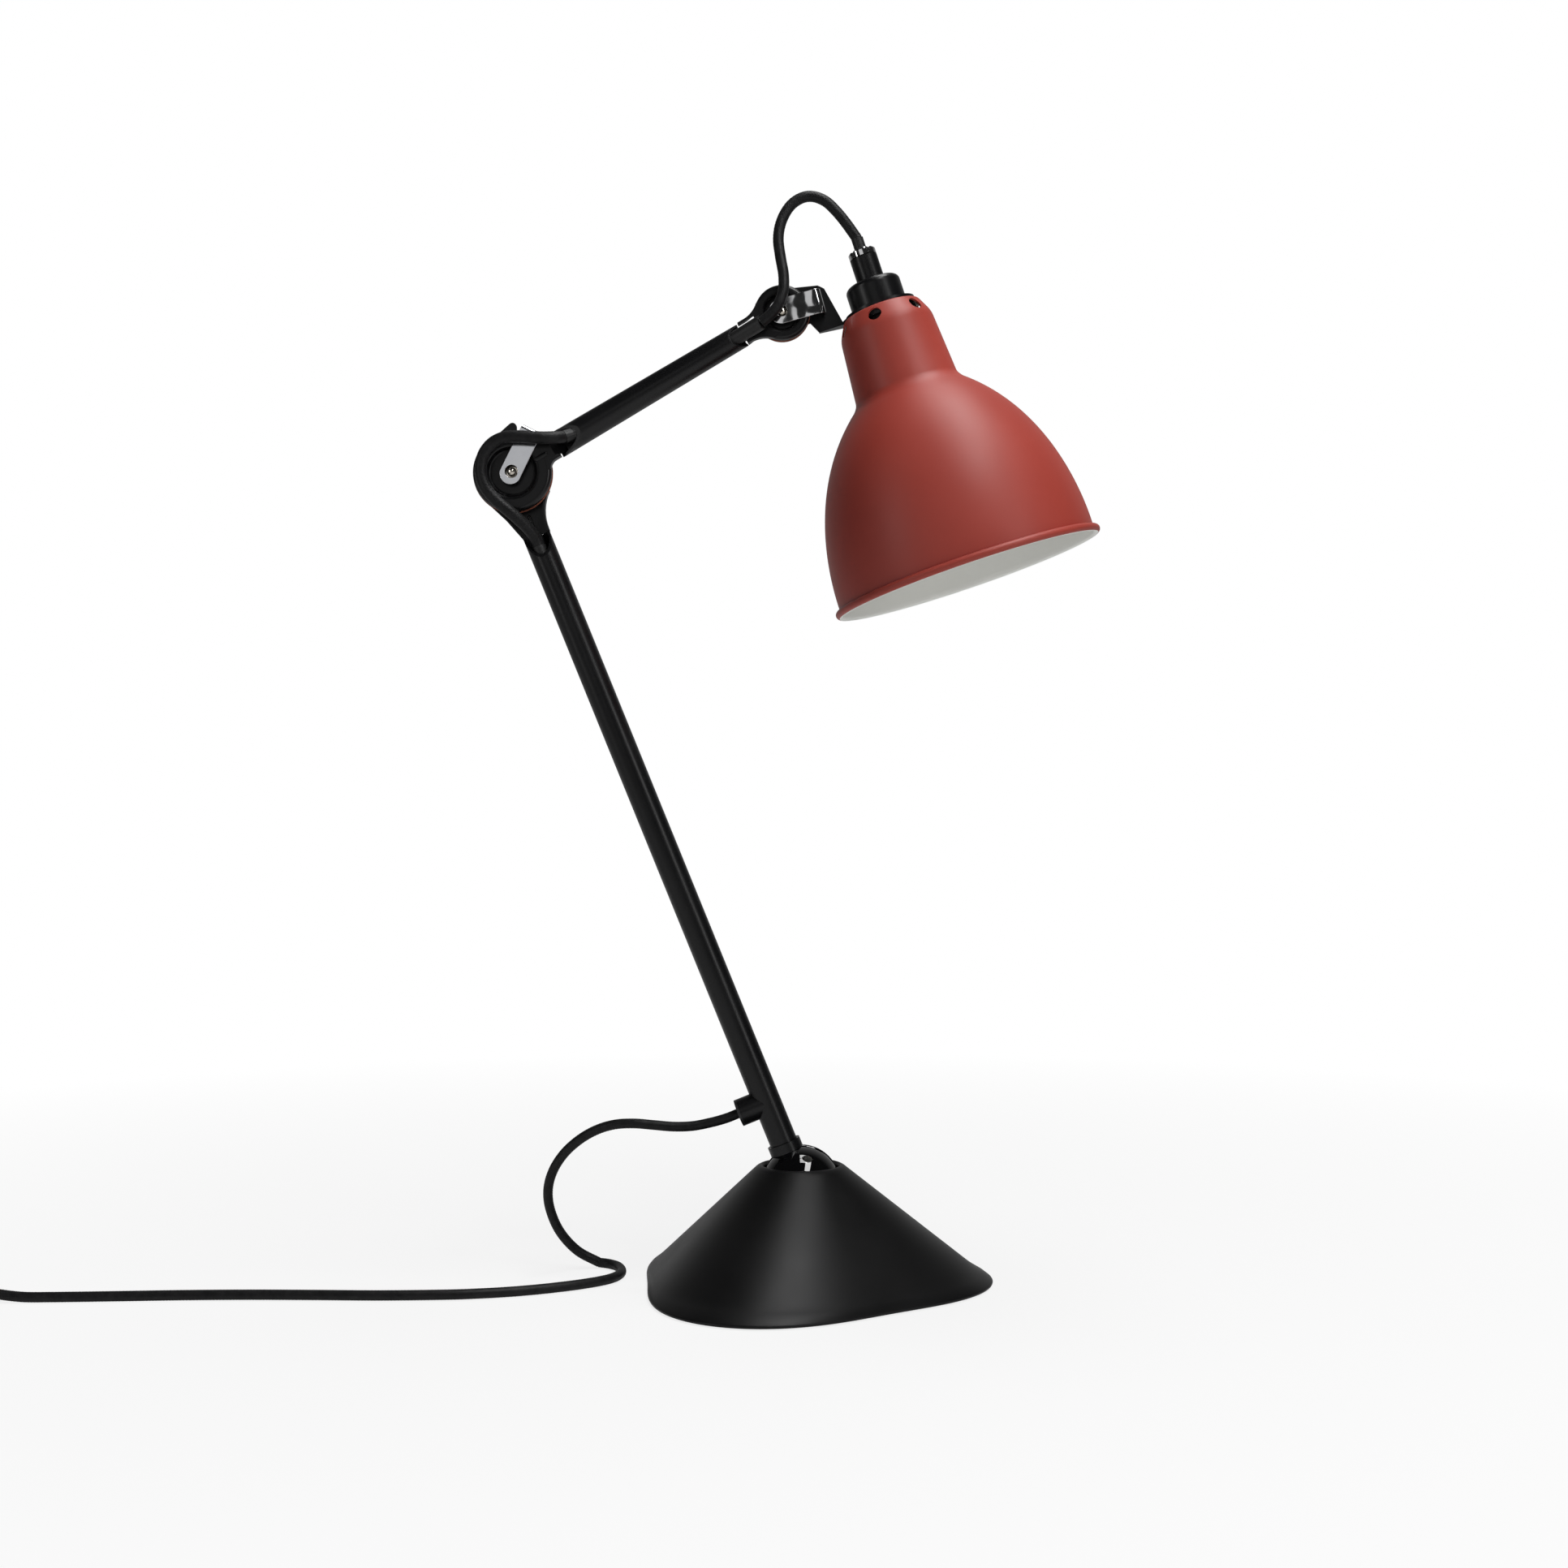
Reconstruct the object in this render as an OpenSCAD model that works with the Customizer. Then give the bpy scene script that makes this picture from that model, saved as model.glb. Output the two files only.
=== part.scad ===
// Desk lamp on a three-cornered base: ball foot joint, two arms, two friction knuckles and a bell shade.
// Lengths are millimetres and angles degrees. The origin is on the floor under the ball.
// +X points to the shade's side, +Z up, and the front of the knuckles faces -Y.

/* [Base] */
// Mean radius of the three-cornered foot
foot_r = 86.9; // [82:0.1:90]
// How far each corner reaches past the mean radius
foot_lobe = 9.8; // [7:0.1:10]
// Height of the base's rim over the floor
base_h = 60; // [56:0.5:72]
// Height of the upright band along the lower edge
band_h = 7.8; // [6.5:0.1:10]
// How far the crease over the band lies inside the foot
band_in = 6.1; // [4:0.1:7]
// Radius of the round shoulder at the rim
shoulder_r = 23.3; // [22.8:0.1:26]
// Radius of the mouth that the ball looks out of
mouth_r = 18.9; // [18.4:0.1:19.4]
// Wall of the cast base
base_wall = 3; // [2.4:0.1:4]
// Thickness of the ballast plate
ballast_t = 10; // [6:0.5:11]
// Thickness of the floor pad
pad_t = 2; // [1.5:0.1:3]
// Diameter of the base's screws
base_screw_d = 4; // [3:0.5:5]

/* [Ball joint] */
// Diameter of the split ball
ball_d = 40.5; // [39.5:0.1:41.5]
// Depth of the ball's centre under the base's rim
ball_sink = 10.5; // [9.5:0.1:11.5]
// Width of the slot between the two halves
ball_slot = 6; // [5:0.1:7]
// Diameter of the cross bolt
ball_bolt_d = 6; // [5:0.5:7]
// Diameter of the round end of the arm's tongue
tongue_d = 26; // [22:0.5:30]

/* [Lower arm] */
// Length from the ball's centre to the elbow
lower_len = 385.2; // [340:0.1:420]
// Lean of the lower arm from upright
lower_lean = 22.15; // [15:0.05:28]
// Diameter of the lower tube
lower_d = 14; // [13.6:0.1:15]
// Wall of both tubes
tube_wall = 1; // [0.8:0.1:1.2]
// Outside diameter of the collar over the ball
collar_d = 16.9; // [16.6:0.1:19]
// Height of the collar
collar_h = 4.8; // [3.5:0.1:7]
// Distance of the cord boss from the ball's centre
boss_up = 45.2; // [40:0.1:60]
// Diameter of the cord boss
boss_d = 13.7; // [12:0.1:13.8]
// Reach of the cord boss from the tube's axis
boss_reach = 15.4; // [14:0.1:20]

/* [Upper arm] */
// Length from the elbow to the head's pivot
upper_len = 157; // [130:0.1:200]
// Rise of the upper arm over the level
upper_rise = 30.7; // [20:0.1:38]
// Diameter of the upper tube at the elbow
upper_d1 = 13.9; // [13.5:0.1:14.5]
// Diameter of the upper tube at the head
upper_d2 = 11.7; // [11.5:0.1:12.5]

/* [Knuckles] */
// How far the elbow's pin lies beside the lower tube's axis
lower_off = 0.8; // [0:0.1:1]
// How far both pins lie under the upper tube's axis
upper_off = 0.9; // [0:0.1:1]
// Diameter of the elbow's discs
elbow_d = 39.4; // [37:0.1:42]
// Diameter of the dish in each elbow disc
elbow_dish_d = 24.4; // [20:0.1:26]
// Depth of each elbow disc
elbow_depth = 4.6; // [4.4:0.1:5]
// Diameter of the head knuckle's discs
head_d = 27.6; // [27:0.1:30]
// Diameter of the dish in each head disc
head_dish_d = 18; // [16:0.1:19]
// Depth of each head disc
head_depth = 3.8; // [3.7:0.1:4]
// Thickness of the pressed sheet
sheet = 1.2; // [1:0.05:1.3]
// Thickness of the fibre washers
washer_t = 1.2; // [0.8:0.1:1.6]
// Diameter of the elbow's pin
elbow_pin_d = 4.6; // [4:0.1:5]
// Diameter of the head's pin
head_pin_d = 4.2; // [3.6:0.1:4.6]
// Running gap between turning faces
run_gap = 0.1; // [0.05:0.01:0.15]

/* [Stirrups] */
// Thickness of the bright strip
strip_t = 1; // [0.8:0.1:1.2]
// Width of the elbow's strip
elbow_strip_w = 10.7; // [9:0.1:12]
// Angle of the elbow's strip over the level
elbow_strip_dir = 64; // [60:1:66]
// Width of the head's strip
head_strip_w = 12.3; // [10:0.1:13]
// Angle of the head's strip over the level
head_strip_dir = 16; // [10:0.5:18]

/* [Head] */
// Tilt of the shade from upright
shade_tilt = 18.2; // [10:0.1:25]
// Distance from the head's pivot to the shade's axis
shade_out = 47.5; // [45:0.1:52]
// Depth of the shade's top under the pivot
shade_drop = 14.1; // [13.8:0.1:14.6]
// Thickness of the bracket's foot
foot_t = 1.5; // [1.2:0.1:2]

/* [Shade] */
// Height of the shade from rim to top
shade_h = 140.5; // [135:0.5:150]
// Radius of the bell at its rim
bell_r = 66.4; // [60:0.1:75]
// Height of the bell under the neck
bell_h = 95; // [90:0.5:100]
// Radius where the bell meets the neck
waist_r = 29.4; // [28:0.1:33]
// Radius of the neck at its lower end
neck_r = 26.5; // [26:0.1:28]
// Radius of the neck under the top
neck_top_r = 23.9; // [23:0.1:25]
// Radius of the flat top
top_r = 19.5; // [18.5:0.1:20.5]
// Wall of the spun sheet
shade_wall = 1; // [0.8:0.1:1.4]
// Radius of the rolled rim
bead_r = 2; // [1.6:0.1:2.4]
// Number of vents round the top
vents = 6; // [4:1:8]
// Diameter of a vent
vent_d = 6.9; // [4:0.1:7]

/* [Lamp holder] */
// Diameter of the cap over the holder
cap_d = 28; // [27:0.1:32]
// Height of the cap's wide part
cap_h = 13.5; // [12:0.1:18]
// Diameter of the cap's neck
cap_neck_d = 13.9; // [13:0.1:17]
// Height of the cap's neck
cap_neck_h = 13; // [10:0.1:18]
// Height of the bright cord nut
nut_h = 3.5; // [3:0.1:5]
// Diameter of the holder's skirt
holder_d = 27.2; // [26:0.1:28]
// Length of the holder's skirt
holder_l = 30; // [27:0.5:34]
// Diameter of the bulb's globe
bulb_d = 45; // [35:0.5:46]
// Length of the bulb over all
bulb_l = 78; // [72:0.5:84]

/* [Cords] */
// Diameter of the mains cord
cord_d = 5; // [4.6:0.1:5.2]
// Diameter of the head's cord
head_cord_d = 5.5; // [5:0.1:5.8]
// Diameter of the elbow's cord
elbow_cord_d = 6.2; // [5.8:0.1:6.4]
// Diameter of the shrink sleeves
sleeve_d = 6.8; // [6.6:0.1:7]
// Turns of the coil, inwards
coil_turns = 3; // [2:1:4]

/* [Plug and switch] */
// Width of the plug
plug_w = 35; // [33:0.5:37]
// Length of the plug's body
plug_l = 36; // [32:0.5:40]
// Thickness of the plug
plug_t = 13.6; // [12.5:0.1:14]
// Diameter of a plug pin
plug_pin_d = 4; // [3.9:0.1:4.1]
// Length of a plug pin
plug_pin_l = 19; // [18:0.5:20]
// Distance between the plug's pins
plug_pitch = 18.6; // [17.5:0.1:19.5]
// Length of the switch
switch_l = 56; // [52:1:60]
// Width of the switch
switch_w = 22; // [20:0.5:26]
// Height of the switch
switch_h = 13; // [12.5:0.5:16]

/* [Hidden] */
$fn = 64;

// Small clearances that fixed pieces share
fit = 0.05;
seat_gap = 0.3;
// Radial clearance of a pin that turns in its bore
pin_gap = 0.06;

// Places worked out from the sizes above
ball_r = ball_d / 2;
ball_z = base_h - ball_sink;
elbow_x = -lower_len * sin(lower_lean) + lower_off * cos(lower_lean);
elbow_z = ball_z + lower_len * cos(lower_lean) + lower_off * sin(lower_lean);
head_x = elbow_x + upper_len * cos(upper_rise);
head_z = elbow_z + upper_len * sin(upper_rise);
lower_dir = lower_lean - 90;
lower_r = lower_d / 2;
lower_bore = lower_r - tube_wall;
elbow_r = elbow_d / 2;
head_r = head_d / 2;
front_z = washer_t / 2 + run_gap;
rear_z = washer_t / 2;

// A circle's points from angle a0 to a1
function arc(cx, cy, r, a0, a1, n) =
    [for (i = [0:n]) let (a = a0 + (a1 - a0) * i / n) [cx + r * cos(a), cy + r * sin(a)]];
function flip(pts) = [for (i = [len(pts) - 1:-1:0]) pts[i]];
function unit(v) = v / norm(v);

// The knuckles and strips are drawn flat: x along the arm, y across it and z towards the front
module in_plan(x, z, dir) {
    translate([x, 0, z]) rotate([0, -dir, 0]) rotate([90, 0, 0]) children();
}
// z runs along the lower arm from the ball
module on_lower() {
    translate([0, 0, ball_z]) rotate([0, -lower_lean, 0]) children();
}
// z runs up the shade's axis and x from the head's pivot to that axis
module on_head() {
    translate([head_x, 0, head_z]) rotate([0, -shade_tilt, 0]) children();
}
// z runs up the shade's axis from its rim
module on_shade() {
    on_head() translate([shade_out, 0, -shade_drop - shade_h]) children();
}

// Base
corners = [4.5, 124.5, 244.5];
sides = [64.5, 184.5, 304.5];
shell_z = 0.6;
rim_drop = 1.8;
crease_lobe = foot_lobe - 3.2;
crease_r = foot_r - band_in;
cone_slope = (crease_r - shoulder_r) / (base_h - rim_drop - band_h);
cone_wall = base_wall * sqrt(1 + cone_slope * cone_slope);
seat_top = base_h - 8;
ballast_top = pad_t + ballast_t;
bridge_top = ball_z - ball_r - 5;
bridge_t = 3;
bridge_arm_r = 40;
post_r = 58;
boss_r = 4.5;
screw_r = base_screw_d / 2;
function cone_r(z) = shoulder_r + (base_h - rim_drop - z) * cone_slope;

module lobes(r, a) {
    rotate(corners[0]) polygon([for (i = [0:71]) let (q = r + a * cos(15 * i)) [q * cos(5 * i), q * sin(5 * i)]]);
}
module lobe_slice(z, r, a) {
    translate([0, 0, z]) linear_extrude(0.1) lobes(r, a);
}
module round_slice(z, r) {
    translate([0, 0, z]) cylinder(h = 0.1, r = r, $fn = 48);
}
module base_outside() {
    hull() {
        lobe_slice(shell_z, foot_r - 0.6, foot_lobe);
        lobe_slice(shell_z + 1.2, foot_r, foot_lobe);
        lobe_slice(band_h * 0.55, foot_r - band_in * 0.36, foot_lobe - 1.1);
        lobe_slice(band_h, crease_r, crease_lobe);
        round_slice(base_h - rim_drop, shoulder_r);
        round_slice(base_h - rim_drop / 2, shoulder_r - 1.1);
        round_slice(base_h - 0.4, shoulder_r - 2);
        round_slice(base_h - 0.1, shoulder_r - 2.8);
    }
}
module base_inside() {
    hull() {
        lobe_slice(shell_z - 0.2, foot_r - base_wall, foot_lobe - 0.4);
        lobe_slice(band_h - base_wall / 2, crease_r - base_wall, crease_lobe);
        round_slice(seat_top - 0.1, cone_r(seat_top) - cone_wall);
    }
}
module base_bosses() {
    for (a = corners) rotate(a) translate([bridge_arm_r, 0, bridge_top])
        cylinder(h = base_h, r = boss_r);
    for (a = sides) rotate(a) translate([post_r, 0, ballast_top])
        cylinder(h = base_h, r = boss_r + 0.5);
}
module base_shell() {
    color("#1a1a1c") difference() {
        base_outside();
        difference() {
            base_inside();
            base_bosses();
        }
        translate([0, 0, seat_top - 1]) cylinder(h = 12, r = mouth_r);
        translate([0, 0, base_h - 1.2]) cylinder(h = 1.3, r1 = mouth_r, r2 = mouth_r + 0.9);
        translate([0, 0, ball_z]) sphere(r = ball_r + seat_gap);
        for (a = corners) rotate(a) translate([bridge_arm_r, 0, bridge_top - 1])
            cylinder(h = 11, r = screw_r + fit);
        for (a = sides) rotate(a) translate([post_r, 0, ballast_top - 1])
            cylinder(h = 9, r = screw_r + fit);
    }
}
module floor_pad() {
    color("#101010") linear_extrude(pad_t - fit) lobes(foot_r - base_wall - 2, foot_lobe - 1.2);
}
module ballast_plate() {
    color("#4a4a4c") difference() {
        translate([0, 0, pad_t]) linear_extrude(ballast_t - fit)
            lobes(crease_r - base_wall - ballast_t * cone_slope, crease_lobe - 0.4);
        for (a = sides) rotate(a) translate([post_r, 0, pad_t - 1]) {
            cylinder(h = ballast_t + 2, r = screw_r + 0.2);
            cylinder(h = 3.5, r = base_screw_d);
        }
    }
}
module ballast_screws() {
    color("#8c8c8c") for (a = sides) rotate(a) translate([post_r, 0, pad_t + 0.2]) {
        cylinder(h = ballast_t + 6, r = screw_r);
        cylinder(h = 2.3 - fit, r = base_screw_d - 0.4);
    }
}
module seat_bridge() {
    color("#77787a") translate([0, 0, bridge_top - bridge_t]) linear_extrude(bridge_t - fit) difference() {
        union() {
            circle(r = 24);
            for (a = corners) rotate(a) {
                translate([0, -6.4]) square([bridge_arm_r, 12.8]);
                translate([bridge_arm_r, 0]) circle(r = 7);
            }
        }
        circle(r = 9);
        for (a = corners) rotate(a) translate([bridge_arm_r, 0]) circle(r = screw_r + 0.2);
    }
}
module bridge_screws() {
    color("#8c8c8c") for (a = corners) rotate(a) translate([bridge_arm_r, 0, bridge_top - bridge_t]) {
        cylinder(h = bridge_t + 9, r = screw_r);
        translate([0, 0, -3]) cylinder(h = 3 - fit, r = base_screw_d - 0.4);
    }
}
spring_h = 6;
cup_z = bridge_top + spring_h;
cup_h = 9.5;
cup_r = 18.6;
module seat_springs() {
    spring_t = 1.3;
    rise = (spring_h - 2 * spring_t) / 2 - fit;
    color("#9a9a9c") rotate_extrude() for (i = [0, 1])
        translate([0, bridge_top + i * spring_h]) mirror([0, i])
        polygon([[11.5, 0], [13, 0], [17.5, rise], [17.5, rise + spring_t], [16, rise + spring_t], [11.5, spring_t]]);
}
module seat_cup() {
    color("#d8d4c8") difference() {
        translate([0, 0, cup_z + fit]) cylinder(h = cup_h, r = cup_r);
        translate([0, 0, ball_z]) sphere(r = ball_r + seat_gap);
    }
}

// Ball
bolt_r = ball_bolt_d / 2;
bolt_head_y = 13.5;
bolt_head_h = 3.6;
module ball_half() {
    difference() {
        sphere(r = ball_r);
        translate([-ball_d, -ball_d, -ball_d]) cube([2 * ball_d, 2 * ball_d, ball_d + ball_slot / 2]);
        rotate_extrude() polygon([[ball_r - 1.7, ball_slot / 2 - 0.5], [ball_r + 2, ball_slot / 2 - 0.5],
            [ball_r + 2, ball_slot / 2 + 3.2]]);
        cylinder(h = ball_d, r = bolt_r + fit);
        translate([0, 0, bolt_head_y]) cylinder(h = ball_d, r = bolt_r + 3);
    }
}
module ball_front() {
    color("#0b0b0c") translate([0, 0, ball_z]) rotate([90, 0, 0]) ball_half();
}
module ball_rear() {
    color("#0b0b0c") translate([0, 0, ball_z]) rotate([-90, 0, 0]) ball_half();
}
module ball_bolt() {
    color("#8c8c8c") translate([0, 0, ball_z]) rotate([90, 0, 0]) {
        translate([0, 0, -bolt_head_y - bolt_head_h]) cylinder(h = 2 * bolt_head_y + bolt_head_h + fit, r = bolt_r);
        translate([0, 0, bolt_head_y + fit]) cylinder(h = bolt_head_h, r = bolt_r + 2.2);
    }
}
module ball_nut() {
    color("#8c8c8c") translate([0, 0, ball_z]) rotate([-90, 0, 0]) translate([0, 0, bolt_head_y + fit]) difference() {
        cylinder(h = bolt_head_h - 0.6, r = bolt_r + 2.4, $fn = 6);
        translate([0, 0, -1]) cylinder(h = 8, r = bolt_r + fit);
    }
}
fibre_t = 0.5;
tongue_t = ball_slot - 2 * fibre_t;
module ball_washers() {
    color("#7c3f33") translate([0, 0, ball_z]) rotate([90, 0, 0]) for (s = [0, 1]) mirror([0, 0, s])
        translate([0, 0, tongue_t / 2 + fit]) difference() {
            cylinder(h = fibre_t - 2 * fit, r = tongue_d / 2 - 3);
            translate([0, 0, -1]) cylinder(h = 3, r = bolt_r + 0.1);
        }
}

// Lower arm
tongue_w = 2 * sqrt(pow(lower_bore - 0.15, 2) - pow(tongue_t / 2, 2));
collar_z = sqrt(pow(ball_r + 0.05, 2) - pow(collar_d / 2, 2)) + 0.1;
tube_z = collar_z + 1;
mouth_lip = 33;
mouth_far = 45.5;
module arm_tongue() {
    color("#1c1c1e") on_lower() rotate([90, 0, 0]) translate([0, 0, -tongue_t / 2]) difference() {
        union() {
            cylinder(h = tongue_t, r = tongue_d / 2);
            translate([-tongue_w / 2, 0, 0]) cube([tongue_w, tube_z + 16, tongue_t]);
        }
        translate([0, 0, -1]) cylinder(h = tongue_t + 2, r = bolt_r + pin_gap);
    }
}
module arm_collar() {
    color("#1c1c1e") on_lower() translate([0, 0, collar_z]) difference() {
        cylinder(h = collar_h, r = collar_d / 2);
        translate([0, 0, 1]) cylinder(h = collar_h, r = lower_r + fit);
        translate([0, 0, -1]) cylinder(h = 3, r = lower_bore);
        translate([0, 0, -collar_z]) sphere(r = ball_r + fit);
    }
}
// The front of a tube's end is cut off along a slope, from the lip at its sides to the far point
module mouth_cut(lip, far, r) {
    slope = (far - lip) / r;
    rotate([90, 0, 0]) translate([0, 0, -20]) linear_extrude(40)
        polygon([[lip - 20, 0], [lip, 0], [lip + slope * 15, 15], [lip - 20, 15]]);
}
module lower_tube() {
    color("#1c1c1e") difference() {
        on_lower() difference() {
            translate([0, 0, tube_z]) cylinder(h = lower_len - mouth_lip - tube_z, r = lower_r);
            cylinder(h = lower_len, r = lower_bore);
            translate([0, 0, boss_up]) rotate([0, -90, 0]) cylinder(h = lower_d, r = bush_r);
        }
        in_plan(elbow_x, elbow_z, lower_dir) mouth_cut(mouth_lip, mouth_far, lower_r);
    }
}
bush_r = 4;
bush_flange = 1.3;
module cord_boss() {
    color("#1c1c1e") on_lower() difference() {
        translate([0, 0, boss_up]) rotate([0, -90, 0]) cylinder(h = boss_reach - bush_flange - 0.1, r = boss_d / 2);
        translate([0, 0, boss_up]) rotate([0, -90, 0]) cylinder(h = boss_reach, r = bush_r + fit);
        cylinder(h = lower_len, r = lower_r + fit);
    }
}
module boss_bush() {
    color("#141415") on_lower() translate([0, 0, boss_up]) rotate([0, -90, 0]) {
        translate([0, 0, lower_r - 1]) cylinder(h = boss_reach - lower_r + 1, r = bush_r - 0.1);
        translate([0, 0, boss_reach - bush_flange]) cylinder(h = bush_flange, r = boss_d / 2);
    }
}

// Knuckles: a pressed pan with a dished middle, and a channel-shaped neck to its tube
function pan_profile(r, dish, depth, bore, bend, lip) = concat(
    [[r, 0]], arc(r - lip, depth - lip, lip, 0, 90, 5),
    arc(dish + bend, depth - bend, bend, 90, 180, 4),
    arc(dish - bend, sheet + bend, bend, 0, -90, 4),
    [[bore, sheet], [bore, 0]],
    arc(dish - bend, sheet + bend, bend + sheet, -90, 0, 4),
    arc(dish + bend, depth - bend, bend - sheet, 180, 90, 2),
    arc(r - lip, depth - lip, lip - sheet, 90, 0, 4),
    [[r - sheet, 0]]);
module pan(r, dish, depth, bore) {
    bend = (depth - sheet) / 2 - 0.01;
    rotate_extrude() polygon(pan_profile(r, dish, depth, bore, max(bend, sheet + 0.02), sheet + 1));
}
// The neck's side runs in an arc from the disc to the tube's side, or straight where rho is 0
function arc_side(r, w, rho) = let (cx = sqrt(pow(r + rho, 2) - pow(w + rho, 2)), a = 180 + atan2(w + rho, cx))
    arc(cx, w + rho, rho, a, 270, 8);
function straight_side(r, w, x) = let (a = atan2(w, x) + acos(r / norm([x, w])), t = r * [cos(a), sin(a)])
    [t, (t + [x, w]) / 2 - 0.7 * [cos(a), sin(a)]];
function neck_side(r, w, rho, x, s) = rho > 0 ? arc_side(r - s, w - s, rho + s) : straight_side(r - s, w - s, x);
function neck_outline(r, w, rho, x, s) = let (up = neck_side(r, w[0], rho[0], x, s),
    down = neck_side(r, w[1], rho[1], x, s)) concat([[0, up[0][1]]], up, [[x, w[0] - s], [x, s - w[1]]],
        flip([for (p = down) [p[0], -p[1]]]), [[0, -down[0][1]]]);
// w and rho are given for the upper and the lower side
module neck(r, w, rho, x1, depth, floor_x) {
    difference() {
        linear_extrude(depth) polygon(neck_outline(r, w, rho, x1, 0));
        translate([0, 0, -1]) linear_extrude(depth - sheet + 1) polygon(neck_outline(r, w, rho, x1 + 1, sheet));
        translate([floor_x, sheet - w[1], -1]) cube([x1, w[0] + w[1] - 2 * sheet, depth + 2]);
        translate([0, 0, -1]) cylinder(h = depth + 2, r = r - 2);
    }
}
// A sheet bent down from the neck into the tube, where it lies behind the middle
tongue_z = -1.3;
module tongue_sheet(x0, z0, w0, x1, z1, w1, x2) {
    rotate([90, 0, 0]) translate([0, 0, -w0]) linear_extrude(2 * w0) polygon([[x0 - 0.8, z0], [x0, z0],
        [x1, z1], [x1, z1 - sheet], [x1 - 0.7, z1 - sheet], [x0 - 0.8, z0 - sheet]]);
    translate([x1 - 0.1, -w1, z1 - sheet]) cube([x2 - x1, 2 * w1, sheet]);
}
function tongue_half(r, z) = sqrt(pow(r, 2) - pow(sheet - z, 2)) - 0.12 - upper_off;
module bead(x0, x1, y, z, r) {
    translate([x0, y, z]) rotate([0, 90, 0]) cylinder(h = x1 - x0, r = r, $fn = 24);
    translate([x0, y, z]) sphere(r = r, $fn = 24);
    translate([x1, y, z]) sphere(r = r, $fn = 24);
}
neck_rho = 5;
lower_rho = 24;
head_rho = 14;
rib_r = 1.3;
module elbow_rear_disc() {
    color("#18181a") in_plan(elbow_x, elbow_z, lower_dir) mirror([0, 0, 1]) translate([0, 0, rear_z]) difference() {
        union() {
            pan(elbow_r, elbow_dish_d / 2, elbow_depth, elbow_pin_d / 2 + pin_gap);
            neck(elbow_r, [lower_r - lower_off, lower_r + lower_off], [lower_rho, 0], mouth_lip - fit,
                elbow_depth, mouth_lip + 1);
            translate([mouth_lip - 2, -2.4 - lower_off, elbow_depth - sheet - 0.4]) cube([18, 4.8, sheet]);
            bead(22.5, 29.5, -1, elbow_depth, rib_r);
        }
        bead(22.5, 29.5, -1, elbow_depth - sheet, rib_r - 0.4);
    }
}
module elbow_washer() {
    color("#8a4636") in_plan(elbow_x, elbow_z, 0) translate([0, 0, -washer_t / 2]) difference() {
        cylinder(h = washer_t, r = elbow_r + 0.3);
        translate([0, 0, -1]) cylinder(h = washer_t + 2, r = elbow_pin_d / 2 + 0.2);
    }
}
lower_sleeve_at = [mouth_far - 6.4, -1 - lower_off, 1.5];
module lower_sleeve() {
    color("#222224") in_plan(elbow_x, elbow_z, lower_dir) translate(lower_sleeve_at)
        rotate([0, 90, 0]) cylinder(h = 16, r = sleeve_d / 2);
}

// Upper arm
elbow_lip = 26;
elbow_far = 40;
head_lip = 22.5;
head_far = 30;
function upper_r(x) = (upper_d1 + (upper_d2 - upper_d1) * x / upper_len) / 2;
module upper_tube() {
    x1 = upper_len - head_lip;
    color("#1c1c1e") difference() {
        in_plan(elbow_x, elbow_z, upper_rise) translate([0, upper_off, 0]) rotate([0, 90, 0]) difference() {
            translate([0, 0, elbow_lip]) cylinder(h = x1 - elbow_lip, r1 = upper_r(elbow_lip), r2 = upper_r(x1));
            translate([0, 0, elbow_lip - 1]) cylinder(h = x1 - elbow_lip + 2,
                r1 = upper_r(elbow_lip - 1) - tube_wall, r2 = upper_r(x1 + 1) - tube_wall);
        }
        in_plan(elbow_x, elbow_z, upper_rise) mouth_cut(elbow_lip, elbow_far, upper_r(elbow_far));
        in_plan(head_x, head_z, upper_rise + 180) mouth_cut(head_lip, head_far, upper_r(upper_len));
    }
}
module stop_lug() {
    linear_extrude(1.8) polygon(concat([[2.2, elbow_r - 1]], arc(0, elbow_r + 3.2, 2.1, 0, 130, 6),
        [[-8.6, elbow_r - 1.7], [-8.6, elbow_r - 3]]));
}
module elbow_front_disc() {
    half = upper_r(elbow_lip) - 0.2;
    wide = tongue_half(upper_r(46) - tube_wall, tongue_z);
    color("#18181a") in_plan(elbow_x, elbow_z, upper_rise) translate([0, 0, front_z]) difference() {
        union() {
            pan(elbow_r, elbow_dish_d / 2, elbow_depth, elbow_pin_d / 2 + fit);
            neck(elbow_r, [half + upper_off - 0.6, half - upper_off], [neck_rho, neck_rho], elbow_lip - 0.5,
                elbow_depth, 23);
            tongue_sheet(23, elbow_depth, wide, 30, tongue_z - front_z, wide, 46);
            rotate(-upper_rise) stop_lug();
            bead(elbow_dish_d / 2 + 1.5, elbow_r - 0.8, -1, elbow_depth - rib_r + 0.8, rib_r);
        }
        translate([0, 0, -1]) cylinder(h = 9, r = elbow_pin_d / 2 + fit);
    }
}
strip_front = front_z + elbow_depth + seat_gap;
head_strip_front = front_z + head_depth + seat_gap;
pin_out = 0.4;
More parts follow.
